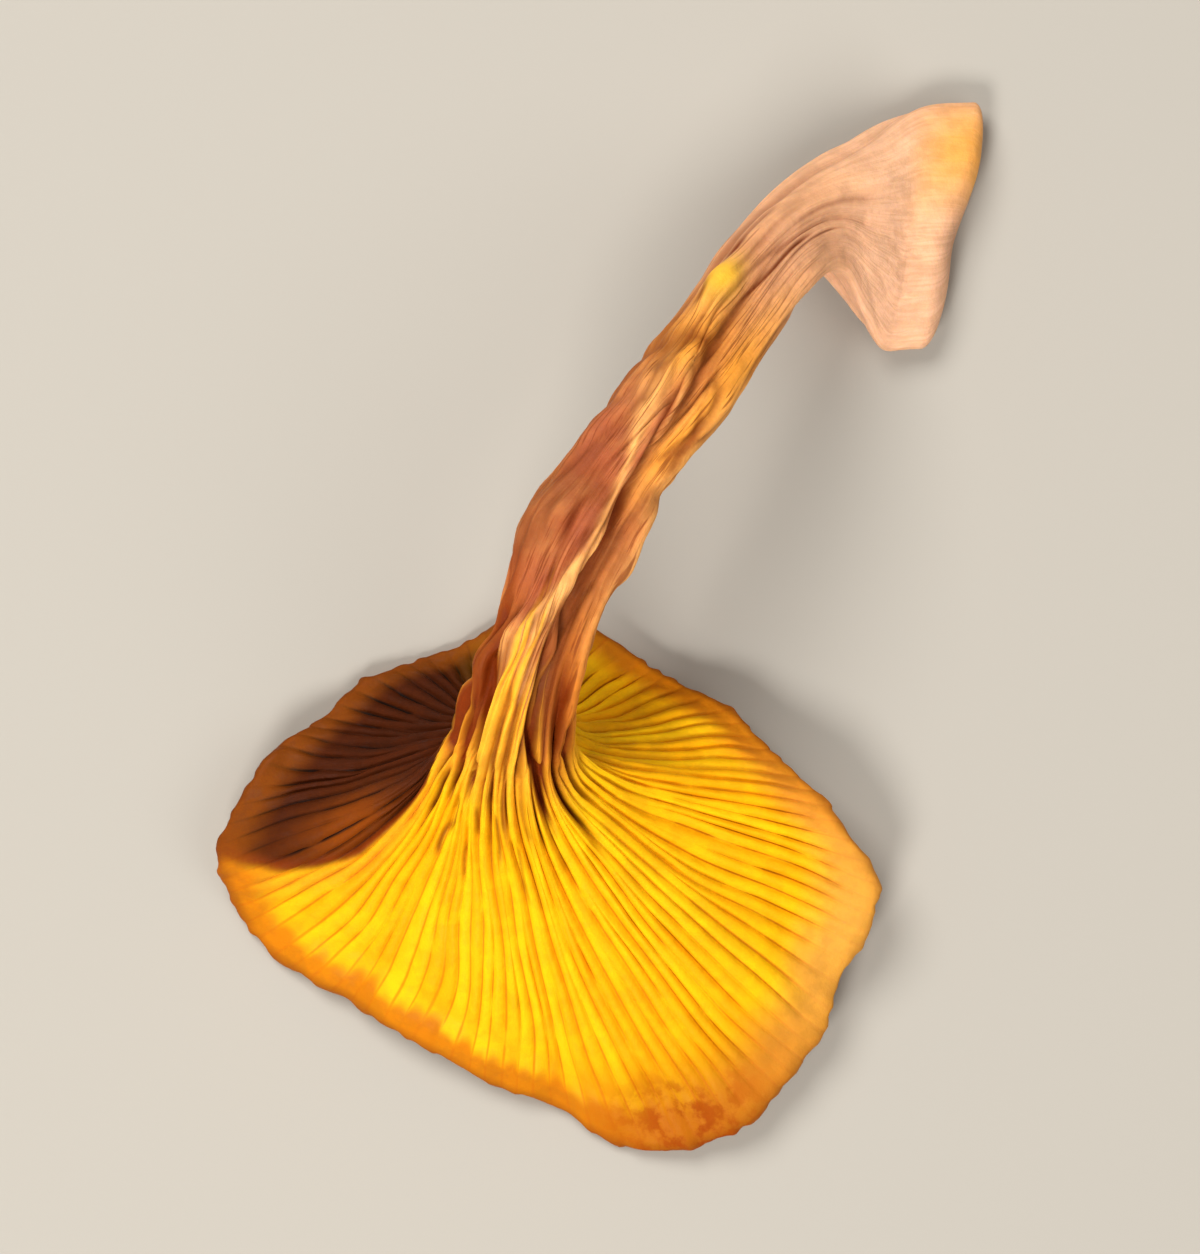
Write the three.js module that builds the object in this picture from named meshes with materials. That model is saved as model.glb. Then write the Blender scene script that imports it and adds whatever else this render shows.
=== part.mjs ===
// A dried chanterelle mushroom, lying cap down: one grown piece, so one closed solid.
// The stem arches up from its flared foot to the neck, where the flesh spreads into a lopsided
// funnel. Ridges that fork twice run down the outside of the funnel and on along the stem. The
// margin of the funnel and the foot rest on the ground at z = 0.
import * as THREE from "three";

// ---- Driving dimensions, in millimetres ----

// Ribs across the stem from neck to foot: the left and right ends (x, y), the height of the
// middle over the ground, and half the stem's thickness there.
const STEM_RIBS = [
  [[-4.5, -4.5], [0.1, -5.1], 8.4, 2.1],
  [[-3.5, -1.7], [0.5, -2.4], 10.8, 1.9],
  [[-2.6, 1.8], [1.6, 0.7], 12.2, 1.8],
  [[-2.1, 5.2], [3.1, 3.7], 12.7, 2.0],
  [[0.4, 8.3], [4.6, 6.6], 12.5, 1.8],
  [[2.6, 11.4], [6.9, 9.4], 11.6, 1.9],
  [[5.3, 14.9], [9.2, 12.6], 9.8, 1.7],
  [[8.4, 19.0], [11.2, 15.8], 6.7, 1.7],
  [[11.2, 21.4], [12.5, 16.6], 4.4, 1.7],
  [[14.0, 23.1], [13.7, 15.0], 2.8, 1.7],
  [[16.5, 24.7], [14.9, 13.3], 1.65, 1.6],
  [[19.3, 24.9], [16.8, 13.2], 1.3, 1.4],
];
const FOOT_BULGE = 1.2; // how far the foot's closed end rounds out past the last rib
const FOOT_BULGE_FLAT = 0.4; // how much less it rounds out at its two corners
const FOOT_NARROW = 0.32; // how much narrower the end gets, which rounds its corners
const FOOT_DENT = 0.028; // how much of the stem the end falls short, between heel and flare
const FOOT_DENT_AT = 0.2; // where across the foot it draws in most, from -1 on the left to 1
const FOOT_DENT_WIDTH = 0.55;
// The margin of the cap, anticlockwise from the right as seen from above: x, y, z.
const MARGIN_STATIONS = [
  [14.2, -12.2, 3.3],
  [12.0, -8.1, 3.9],
  [8.0, -4.3, 2.6],
  [3.6, -1.6, 1.2],
  [-1.2, 0.2, 1.3],
  [-6.2, -1.2, 0.8],
  [-10.6, -3.6, 1.5],
  [-13.9, -6.8, 2.5],
  [-15.8, -10.4, 2.4],
  [-15.0, -13.7, 0.75],
  [-11.2, -16.3, 0.8],
  [-6.5, -19.2, 1.5],
  [-1.7, -21.9, 1.1],
  [3.5, -23.9, 0.35],
  [8.3, -23.0, 1.5],
  [12.2, -18.0, 2.4],
];
const MARGIN_WAVE = 0.15; // how far the margin waves in and out, and up and down
// The point under the neck that the cap's slopes aim at.
const FOCUS = new THREE.Vector3(-2.4, -6.6, 2.6);
const SHOULDER_SHARE = 0.42; // how far in from the margin the slope's shoulder sits
const SHOULDER_FRONT = 4.0; // how high the shoulder stands over the margin in front
const SHOULDER_BACK = 0.9; // and behind, under the stem
const FOLD_AT = 0.495; // how far round the margin the cap folds over sharply
const FOLD_WIDTH = 0.055; // the share of the way round that the fold takes
const FOLD_SOFTNESS = 0.1; // how much further the fold spreads on the hollow's side
const FOLD_LIP = 0.5; // how far the fold's crest stands over the slope in front of it
const FOLD_LIP_WIDTH = 0.035;
const NECK_REACH = 3.0; // how far the stem's line runs on into the cap
const NECK_REACH_SWING = 1.3; // more of that in front, and less behind

const FLESH_AT_NECK = 1.0;
const FLESH_AT_MARGIN = 0.85;
const FLESH_THIN = 0.4; // how much thinner the flesh is under the fold, as a share
const FLESH_THIN_WIDTH = 0.06;
const HOLLOW_START = 0.16; // where the funnel's hollow begins, as a share of the way out
const MARGIN_CURL = 0.6; // how far the margin rolls up
const EDGE_ROUND = 0.35; // how far the margin's rounded edge stands out
const REST_DEPTH = 0.12; // how much of each low spot is flat against the ground

const STEM_RIDGES = 22; // ridges on the stem; each forks twice on its way to the margin
const TIPS = 4 * STEM_RIDGES;
const RIDGE_HEIGHT_FOOT = 0.03;
const RIDGE_HEIGHT_STEM = 0.2;
const RIDGE_HEIGHT_NECK = 0.36;
const RIDGE_HEIGHT_CAP = 0.5;
const LEAN = 0.12; // how far round the stem's left flank turns over from neck to middle
const LEAN_AT = 0.56; // where round it turns most
const LEAN_WIDTH = 0.2;

// Long folds of the shrunken stem: place round, height as a share of the radius, width round,
// how much further round the fold swings halfway down the stem, and from where on the stem.
const STEM_FOLDS = [
  [0.56, 0.3, 0.05, 0.21, 0.08], // the crest of the flank that folds over
  [0.66, -0.3, 0.05, 0.155, -0.2], // the valley that it overhangs
  [0.92, 0.18, 0.038, 0.0, 0.0],
  [0.03, -0.14, 0.04, 0.0, 0.0],
  [0.12, 0.12, 0.04, 0.0, 0.0],
  [0.22, -0.24, 0.05, 0.0, 0.0],
  [0.33, 0.2, 0.04, 0.0, 0.0],
  [0.43, -0.16, 0.04, 0.0, 0.0],
];

const SWING_TAKES = 0.18; // how much of the stem a swing takes to come on
const SWING_ENDS = [0.36, 0.62]; // where on the stem it goes off again
const SWING_FADE = 0.6; // how much lower a fold that swings is beyond its swing
const SWING_FADES = [0.48, 0.62]; // where on the stem it gets lower
const FOLDS_START = [-0.12, 0.14]; // where on the stem the folds come on
const FOLDS_FADE = 0.85; // how much lower they all are at the foot
const FOLDS_FADES = [0.75, 1]; // where on the stem they get lower

// Mesh density, in rows along.
const STEM_ROWS = 27;
const FOOT_TURNS = [0.85, 0.6, 0.3]; // the rows over the foot's rounded end
const CAP_ROWS = 15;
const HOLLOW_ROWS = 8;

// ---- Small tools ----

const TURN = 2 * Math.PI;

// A repeatable draw from 0 to 1 for each whole number.
function draw(n) {
  const x = Math.sin(n * 12.9898 + 4.1414) * 43758.5453;
  return x - Math.floor(x);
}

function ease(from, to, x) {
  const k = Math.min(1, Math.max(0, (x - from) / (to - from)));
  return k * k * (3 - 2 * k);
}

function mix(a, b, k) {
  return a + (b - a) * k;
}

function wrap(u) {
  return ((u % 1) + 1) % 1;
}

// A smooth hump round a centre, on a line that closes on itself at 1.
function hump(u, centre, width) {
  const away = wrap(u - centre + 0.5) - 0.5;
  return Math.exp(-((away / width) ** 2));
}

function curveThrough(stations, closed) {
  const points = stations.map(([x, y, z]) => new THREE.Vector3(x, y, z));
  return new THREE.CatmullRomCurve3(points, closed, "catmullrom", 0.5);
}

// ---- Stem ----

const leftLine = curveThrough(
  STEM_RIBS.map(([[x, y], , z]) => [x, y, z]),
  false,
);
const rightLine = curveThrough(
  STEM_RIBS.map(([, [x, y], z]) => [x, y, z]),
  false,
);
const thicknessLine = curveThrough(
  STEM_RIBS.map(([, , , half]) => [half, 0, 0]),
  false,
);

function stemMiddle(s) {
  return leftLine.getPoint(s).lerp(rightLine.getPoint(s), 0.5);
}

// The half width, the half thickness and the way ahead of the stem's section at s.
function stemSection(s) {
  const wide = rightLine.getPoint(s).sub(leftLine.getPoint(s)).multiplyScalar(0.5);
  const ahead = leftLine.getTangent(s).add(rightLine.getTangent(s)).normalize();
  const thick = new THREE.Vector3().crossVectors(ahead, wide).normalize();
  return { wide, thick: thick.multiplyScalar(thicknessLine.getPoint(s).x), ahead };
}

// How far the shrunken stem's folds swell or sink its section.
function stemFolds(u, s) {
  const depth = ease(...FOLDS_START, s) * (1 - FOLDS_FADE * ease(...FOLDS_FADES, s));
  let swell = 0;
  for (const [place, height, width, swing, since] of STEM_FOLDS) {
    const turned = swing * ease(since, since + SWING_TAKES, s) * (1 - ease(...SWING_ENDS, s));
    const wander = 0.02 * Math.sin(9 * s + 20 * place);
    const fade = swing ? 1 - SWING_FADE * ease(...SWING_FADES, s) : 1;
    swell += height * fade * hump(u - wander - turned, place, width);
  }
  return 1 + depth * swell;
}

// A point on the stem's skin: u goes round, from 0 to 1, and s from neck to foot. The plain
// version has no folds.
function stemPoint(u, s, plain = false) {
  const lean = LEAN * ease(0.04, 0.32, s) * hump(u, LEAN_AT, LEAN_WIDTH);
  const angle = TURN * (u + lean);
  const across = (Math.cos(angle) - FOOT_DENT_AT) / FOOT_DENT_WIDTH;
  const reached = s - FOOT_DENT * ease(0.8, 1, s) * Math.exp(-(across ** 2));
  const { wide, thick } = stemSection(reached);
  const swell = plain ? 1 : stemFolds(u, s);
  return stemMiddle(reached)
    .addScaledVector(wide, swell * Math.cos(angle))
    .addScaledVector(thick, swell * Math.sin(angle));
}

// ---- Cap ----

const marginLine = curveThrough(MARGIN_STATIONS, true);
marginLine.arcLengthDivisions = 800;

function marginPoint(u) {
  const point = marginLine.getPointAt(wrap(u));
  const wave = MARGIN_WAVE * (Math.sin(9 * TURN * u + 1) + 0.6 * Math.sin(14 * TURN * u + 2.2));
  const outward = point.clone().sub(FOCUS).setZ(0).normalize();
  return point.addScaledVector(outward, wave).setZ(point.z + 0.5 * wave);
}

// The shoulder is high in front and low behind. It drops in a sharp fold on the left.
function shoulderRise(u, plain) {
  const round = wrap(u);
  const foldEnd = FOLD_AT + (plain ? FOLD_SOFTNESS : 0);
  const front = ease(FOLD_AT - FOLD_WIDTH, foldEnd, round) * (1 - ease(0.9, 1.0, round));
  const lip = plain ? 0 : FOLD_LIP * hump(u, FOLD_AT + FOLD_LIP_WIDTH / 2, FOLD_LIP_WIDTH);
  const wave = 0.4 * Math.sin(3 * TURN * u + 0.4) * front;
  return mix(SHOULDER_BACK, SHOULDER_FRONT, front) + wave + lip;
}

// A point on the cap's outside, without its ridges: t goes from the neck to the margin. The
// plain version, which the hollow follows, is softer at the fold.
function capPoint(u, t, plain = false) {
  const start = stemPoint(u, 0, plain);
  const reach = NECK_REACH - NECK_REACH_SWING * Math.sin(TURN * u);
  const leave = start.clone().addScaledVector(stemSection(0).ahead, -reach);
  const end = marginPoint(u);
  const shoulder = end.clone().lerp(FOCUS, SHOULDER_SHARE);
  shoulder.z = end.z + shoulderRise(u, plain);
  return new THREE.CubicBezierCurve3(start, leave, shoulder, end).getPoint(t);
}

// ---- The whole skin ----

// way runs from 0 at the foot, through 1 at the neck, to 2 at the margin.
function skinPoint(u, way, plain = false) {
  return way < 1 ? stemPoint(u, 1 - way, plain) : capPoint(u, way - 1, plain);
}

// The outward direction, from short steps on the skin.
const STEP = 2e-3;
function skinNormal(u, way, plain = false) {
  const high = skinPoint(u, Math.min(2, way + STEP), plain);
  const along = high.sub(skinPoint(u, Math.max(0, way - STEP), plain));
  const across = skinPoint(u + STEP, way, plain).sub(skinPoint(u - STEP, way, plain));
  return along.cross(across).normalize();
}

// ---- Ridges ----

function ridgeHeight(way) {
  const onFoot = mix(RIDGE_HEIGHT_FOOT, RIDGE_HEIGHT_STEM, ease(0.15, 0.45, way));
  const onStem = mix(onFoot, RIDGE_HEIGHT_NECK, ease(0.6, 1, way));
  const onCap = mix(onStem, RIDGE_HEIGHT_CAP, ease(1.05, 1.4, way));
  return onCap * (1 - 0.85 * ease(1.88, 1.98, way));
}

const firstFork = (ridge) => 1.02 + 0.25 * draw(ridge + 300);
const secondFork = (twig) => 1.28 + 0.4 * draw(twig + 100);
const opening = (fork, way) => mix(0.35, 1, ease(fork - 0.16, fork + 0.2, way));
const tipPlace = (tip) => (tip + 0.5 + 0.3 * (draw(tip + 500) - 0.5)) / TIPS;
const twigPlace = (twig) => (tipPlace(2 * twig) + tipPlace(2 * twig + 1)) / 2;
const ridgePlace = (ridge) => (twigPlace(2 * ridge) + twigPlace(2 * ridge + 1)) / 2;

// Where crest i is, as a share of the way round. Forked crests draw together towards the stem.
function crest(i, way) {
  if (i >= TIPS) return crest(i - TIPS, way) + 1;
  const twig = Math.floor(i / 2);
  const ridge = Math.floor(i / 4);
  const twigShift = (twigPlace(twig) - ridgePlace(ridge)) * opening(firstFork(ridge), way);
  const tipShift = (tipPlace(i) - twigPlace(twig)) * opening(secondFork(twig), way);
  const sway = (0.2 / TIPS) * Math.sin(7 * way + TURN * draw(ridge + 50));
  return ridgePlace(ridge) + twigShift + tipShift + sway;
}

// How deep the valley after crest i is. Inside a fork it begins where the fork opens.
function valleyDepth(i, way) {
  if (i % 4 === 3) return 1;
  const fork = i % 2 ? firstFork(Math.floor(i / 4)) : secondFork(Math.floor(i / 2));
  return ease(fork - 0.1, fork + 0.14, way);
}

// Two columns for each crest that a row has: its top, and the valley after it.
function ridgeColumns(way, every) {
  const columns = [];
  for (let i = 0; i < TIPS; i += every) {
    const last = i + every - 1;
    const here = (crest(i, way) + crest(last, way)) / 2;
    const next = (crest(i + every, way) + crest(last + every, way)) / 2;
    columns.push({ u: here, height: ridgeHeight(way) });
    columns.push({ u: (here + next) / 2, height: ridgeHeight(way) * (1 - valleyDepth(last, way)) });
  }
  return columns;
}

// ---- Rows of the mesh ----

function marginCurl(u, t) {
  return MARGIN_CURL * (0.5 + 0.5 * Math.sin(5 * TURN * u + 1)) * ease(0.86, 1, t);
}

function outerRow(way, every) {
  return ridgeColumns(way, every).map(({ u, height }) => {
    const lift = height + (way > 1 ? marginCurl(u, way - 1) : 0);
    return { u, point: skinPoint(u, way).addScaledVector(skinNormal(u, way), lift) };
  });
}

// The hollow's smooth side lies a flesh's thickness under the plain outside.
function innerPoint(u, t) {
  const flesh = mix(FLESH_AT_NECK, FLESH_AT_MARGIN, ease(0, 0.8, t));
  const depth = flesh * (1 - FLESH_THIN * hump(u, FOLD_AT, FLESH_THIN_WIDTH)) - marginCurl(u, t);
  return skinPoint(u, 1 + t, true).addScaledVector(skinNormal(u, 1 + t, true), -depth);
}

function innerRow(t, count) {
  return Array.from({ length: count }, (_, k) => {
    const u = crest(0, 2) + k / count;
    return { u, point: innerPoint(u, t) };
  });
}

// The rounded edge between the ridged side and the smooth side.
function edgeRow() {
  return Array.from({ length: TIPS }, (_, i) => {
    const u = crest(i, 2);
    const outside = skinPoint(u, 2).addScaledVector(skinNormal(u, 2), marginCurl(u, 1));
    const outward = skinPoint(u, 2).sub(skinPoint(u, 1.97)).normalize();
    const point = outside.add(innerPoint(u, 1)).multiplyScalar(0.5);
    return { u, point: point.addScaledVector(outward, EDGE_ROUND) };
  });
}

// The foot's last rows thin out over its rounded end. The turn goes from 0, at the last rib, to 1.
function footRow(turn) {
  const middle = stemMiddle(1);
  const { wide, thick, ahead } = stemSection(1);
  const over = thick.normalize();
  const angle = (turn * Math.PI) / 2;
  const thinner = 1 - Math.cos(angle);
  return outerRow(0, 4).map(({ u, point }) => {
    const away = point.sub(middle);
    const across = away.dot(wide) / wide.lengthSq();
    const flat = 1 - FOOT_BULGE_FLAT * Math.min(1, across ** 2);
    away.addScaledVector(over, -thinner * away.dot(over));
    away.addScaledVector(wide, -thinner * FOOT_NARROW * across);
    away.addScaledVector(ahead, FOOT_BULGE * Math.sin(angle) * flat);
    return { u, point: away.add(middle) };
  });
}

// ---- Mesh ----

const rows = [];
for (const turn of FOOT_TURNS) rows.push(footRow(turn));
for (let i = 0; i < STEM_ROWS; i++) rows.push(outerRow(i / STEM_ROWS, 4));
for (let i = 0; i <= CAP_ROWS; i++) rows.push(outerRow(1 + i / CAP_ROWS, i > 1 ? 1 : 2));
rows.push(edgeRow());
for (let i = 0; i <= HOLLOW_ROWS; i++) {
  const t = mix(1, HOLLOW_START, i / HOLLOW_ROWS);
  rows.push(innerRow(t, i < HOLLOW_ROWS - 1 ? TIPS : TIPS / 2));
}

const positions = [];
const faces = [];

function addPoint(point) {
  positions.push(point.x, point.y, point.z);
  return positions.length / 3 - 1;
}

function addRow(row) {
  return row.map(({ u, point }) => ({ u, index: addPoint(point) }));
}

// Joins two rows. Rows with different numbers of columns are matched by their places round.
function stitch(lower, upper) {
  const alike = lower.length === upper.length;
  const at = (row, k) => ({
    place: alike ? k : row[k % row.length].u + Math.floor(k / row.length),
    index: row[k % row.length].index,
  });
  let a = 0;
  let b = 0;
  while (a < lower.length || b < upper.length) {
    const middleA = at(lower, a).place + at(lower, a + 1).place;
    const middleB = at(upper, b).place + at(upper, b + 1).place;
    const stepA = b === upper.length || (a < lower.length && middleA <= middleB);
    const third = stepA ? at(lower, a + 1).index : at(upper, b + 1).index;
    faces.push(at(lower, a).index, at(upper, b).index, third);
    if (stepA) a++;
    else b++;
  }
}

// Closes a row round one point.
function closeEnd(row, middle) {
  const tip = addPoint(middle);
  row.forEach(({ index }, k) => faces.push(row[(k + 1) % row.length].index, index, tip));
}

// Closes a thin row straight across, from its near edge to its far edge.
function closeFlat(row) {
  for (let k = 0; k < row.length / 2 - 1; k++) {
    const [near, nearNext] = [row[k].index, row[k + 1].index];
    const [far, farNext] = [row.at(-1 - k).index, row.at(-2 - k).index];
    faces.push(near, nearNext, far, farNext, far, nearNext);
  }
}

function middleOf(row) {
  const sum = row.reduce((total, { point }) => total.add(point), new THREE.Vector3());
  return sum.divideScalar(row.length);
}

const meshRows = rows.map(addRow);
for (let i = 0; i + 1 < meshRows.length; i++) stitch(meshRows[i], meshRows[i + 1]);
closeFlat(meshRows[0]);
closeEnd(meshRows.at(-1), middleOf(rows.at(-1)).addScaledVector(stemSection(0).ahead, 0.4));

// What would sink into the ground is flat on it: these are the spots that the piece rests on.
for (let i = 2; i < positions.length; i += 3) positions[i] = Math.max(0, positions[i] - REST_DEPTH);

// The origin is on the ground under the middle of the mushroom's outline.
const geometry = new THREE.BufferGeometry();
geometry.setAttribute("position", new THREE.Float32BufferAttribute(positions, 3));
geometry.setIndex(faces);
geometry.computeBoundingBox();
const { min, max } = geometry.boundingBox;
geometry.translate(-(min.x + max.x) / 2, -(min.y + max.y) / 2, 0);
geometry.computeVertexNormals();

const driedFlesh = new THREE.MeshStandardMaterial({
  color: 0xe9a223,
  roughness: 0.78,
  metalness: 0,
});
const mushroom = new THREE.Mesh(geometry, driedFlesh);
mushroom.name = "chanterelle";

const part = new THREE.Group();
part.add(mushroom);
export default part;
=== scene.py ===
"""A dried chanterelle mushroom lying cap down, dressed for a close studio view.

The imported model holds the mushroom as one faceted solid. This script grows a finer skin of the
same form, with the same driving sizes: a stem swept over ribs, a funnel-shaped cap, ridges that
fork twice on their way to the margin, and the smooth side of the funnel. It then adds what is too
fine for the solid: uneven ridge crests, cross veins, fibres, wrinkles and a crinkled margin.
"""
import logging
import math
from dataclasses import dataclass, field
from enum import Enum, IntEnum
from functools import cached_property
from typing import Optional, Union

import bpy
import numpy as np
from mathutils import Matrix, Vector
from numpy.typing import NDArray


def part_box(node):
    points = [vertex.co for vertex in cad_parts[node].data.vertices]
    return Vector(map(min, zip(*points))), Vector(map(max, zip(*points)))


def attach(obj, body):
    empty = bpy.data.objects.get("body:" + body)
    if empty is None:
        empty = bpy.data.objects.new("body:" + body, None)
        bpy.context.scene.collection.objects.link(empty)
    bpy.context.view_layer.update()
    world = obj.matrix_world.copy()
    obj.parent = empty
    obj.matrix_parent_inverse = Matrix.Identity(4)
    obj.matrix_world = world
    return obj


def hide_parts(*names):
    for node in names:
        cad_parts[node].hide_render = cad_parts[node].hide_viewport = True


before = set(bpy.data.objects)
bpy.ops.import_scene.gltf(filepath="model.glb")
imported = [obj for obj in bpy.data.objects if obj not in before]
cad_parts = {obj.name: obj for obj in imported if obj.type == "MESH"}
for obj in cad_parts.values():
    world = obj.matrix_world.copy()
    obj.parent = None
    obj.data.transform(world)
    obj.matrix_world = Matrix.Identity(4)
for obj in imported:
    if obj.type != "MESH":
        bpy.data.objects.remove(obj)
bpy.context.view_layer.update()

LOG = logging.getLogger("chanterelle")
Array = NDArray[np.float64]
Number = Union[float, Array]
Pair = tuple[float, float]
Triple = tuple[float, float, float]
Feeds = dict[Union[int, str], object]
Socket = bpy.types.NodeSocket
Node = bpy.types.Node

NODE = "chanterelle"
MM = 0.001
TURN = 2.0 * math.pi


# ---------------- small tools


def ease(start: Number, end: Number, x: Number) -> Array:
    """Rise smoothly from 0 at start to 1 at end.

    Args:
        start: Where the rise begins.
        end: Where the rise is complete.
        x: The places to read.

    Returns:
        The share risen at each place.
    """
    share = np.clip((x - start) / (end - start), 0.0, 1.0)
    return share * share * (3.0 - 2.0 * share)


def mix(low: Number, high: Number, share: Number) -> Array:
    """Go from low to high by share."""
    return low + (high - low) * share


class Draw(IntEnum):
    """Where each kind of draw starts, so that no two kinds share their numbers."""

    SWAY = 50
    SECOND_FORK = 100
    FIRST_FORK = 300
    SPREAD = 500
    OWN = 900


def draw(number: Number) -> Array:
    """Give a repeatable draw from 0 to 1 for each whole number."""
    x = np.sin(np.asarray(number, dtype=float) * 12.9898 + 4.1414) * 43758.5453
    return x - np.floor(x)


def hump(x: Number, centre: Number, width: Number) -> Array:
    """Give a smooth hump round a centre on a line that closes on itself at 1."""
    away = (np.asarray(x) - centre + 0.5) % 1.0 - 0.5
    return np.exp(-((away / width) ** 2))


def bell(x: Number, centre: Number, width: float) -> Array:
    """Give a smooth bell round a centre on an open line."""
    return np.exp(-(((x - centre) / width) ** 2))


def unit(vectors: Array) -> Array:
    """Scale vectors to length 1."""
    return vectors / np.linalg.norm(vectors, axis=-1, keepdims=True)


@dataclass(frozen=True)
class Thread:
    """A smooth curve through stations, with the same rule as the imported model's.

    Attributes:
        stations: The points it passes through, one row each.
        closed: Whether its end joins its start.
    """

    stations: Array
    closed: bool = False

    def at(self, share: Number) -> Array:
        """Find points on the curve.

        Args:
            share: How far along, from 0 to 1, counted in stations.

        Returns:
            The points, with one more axis than share.
        """
        count = len(self.stations)
        if self.closed:
            place = np.asarray(share) * count
            low = np.floor(place).astype(int)
            around = [self.stations[(low + step) % count] for step in (-1, 0, 1, 2)]
        else:
            place = np.clip(share, 0.0, 1.0) * (count - 1)
            low = np.clip(np.floor(place).astype(int), 0, count - 2)
            before = 2.0 * self.stations[0] - self.stations[1]
            after = 2.0 * self.stations[-1] - self.stations[-2]
            padded = np.vstack([before, self.stations, after])
            around = [padded[low + step] for step in (0, 1, 2, 3)]
        k = (place - low)[..., None]
        leave = 0.5 * (around[2] - around[0])
        arrive = 0.5 * (around[3] - around[1])
        step = around[2] - around[1]
        return (
            around[1]
            + leave * k
            + (3.0 * step - 2.0 * leave - arrive) * k**2
            + (leave + arrive - 2.0 * step) * k**3
        )

    def by_length(self, share: Number, divisions: int = 800) -> Array:
        """Find points on a closed curve by its length.

        Args:
            share: How far round, where whole turns count as none.
            divisions: How finely the length is measured.

        Returns:
            The points, with one more axis than share.
        """
        marks = np.linspace(0.0, 1.0, divisions + 1)
        steps = np.linalg.norm(np.diff(self.at(marks), axis=0), axis=1)
        lengths = np.concatenate([[0.0], np.cumsum(steps)])
        return self.at(np.interp(np.asarray(share) % 1.0 * lengths[-1], lengths, marks))


@dataclass(frozen=True)
class Ripple:
    """Smooth random waves over the skin, seamless all the way round.

    Attributes:
        seed: The draw.
        round_cells: How many waves fit round.
        along_cells: How many waves fit in one unit of way.
        height: How high the waves stand.
    """

    seed: int
    round_cells: int
    along_cells: float
    height: float = 1.0

    def __call__(self, u: Number, way: Number) -> Array:
        """Read the waves.

        Args:
            u: Places round.
            way: Places along.

        Returns:
            The waves at each place, from below to above 0 by at most their height.
        """
        rows = int(math.ceil(4.0 * self.along_cells)) + 3
        table = np.random.default_rng(self.seed).uniform(-1.0, 1.0, (self.round_cells, rows))
        x = np.asarray(u) % 1.0 * self.round_cells
        y = np.clip(np.asarray(way) * self.along_cells, 0.0, rows - 2.001)
        x, y = np.broadcast_arrays(x, y)
        i = np.floor(x).astype(int)
        j = np.floor(y).astype(int)
        kx = ease(0.0, 1.0, x - i)
        ky = ease(0.0, 1.0, y - j)
        i0 = i % self.round_cells
        i1 = (i + 1) % self.round_cells
        near = mix(table[i0, j], table[i1, j], kx)
        far = mix(table[i0, j + 1], table[i1, j + 1], kx)
        return self.height * mix(near, far, ky)


@dataclass(frozen=True)
class Swing:
    """A wave that closes on itself on the way round.

    Attributes:
        turns: How often it swings.
        start: Where in its swing it starts, in radians.
        height: How high it stands.
    """

    turns: int
    start: float
    height: float = 1.0

    def at(self, u: Number) -> Array:
        """Give the wave's height at places round."""
        return self.height * np.sin(self.turns * TURN * u + self.start)


@dataclass(frozen=True)
class Stretch:
    """A soft-ended stretch along the mushroom, from foot (0) through neck (1) to margin (2).

    Attributes:
        rise: Where it comes on.
        fall: Where it goes off again.
    """

    rise: Pair = (-2.0, -1.0)
    fall: Pair = (3.0, 4.0)

    def share(self, way: Number) -> Array:
        """Give how much of it each place along has, from 0 to 1."""
        return ease(*self.rise, way) * (1.0 - ease(*self.fall, way))


@dataclass(frozen=True)
class Patch:
    """A soft-edged patch of the skin on one side of the mushroom.

    Attributes:
        place: How far round it sits.
        reach: How far round it reaches.
        stretch: Where it is along the mushroom.
        strength: How strong it is in its middle.
    """

    place: float
    reach: float
    stretch: Stretch = Stretch()
    strength: float = 1.0

    def share(self, u: Number, way: Number) -> Array:
        """Give how much of it each place has, up to its strength."""
        return self.strength * hump(u, self.place, self.reach) * self.stretch.share(way)


@dataclass(frozen=True)
class Spot:
    """A soft round spot on the skin.

    Attributes:
        place: How far round it sits.
        way: Where along it sits.
        reach: How far round and along it reaches.
        strength: How strong it is in its middle.
    """

    place: float
    way: float
    reach: Pair
    strength: float = 1.0

    def shape(self, u: Number, way: Number) -> Array:
        """Give how near its middle each place is, from 0 to 1."""
        return hump(u, self.place, self.reach[0]) * bell(way, self.way, self.reach[1])

    def share(self, u: Number, way: Number) -> Array:
        """Give how much of it each place has, up to its strength."""
        return self.strength * self.shape(u, way)


# ---------------- the mushroom's form


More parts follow.
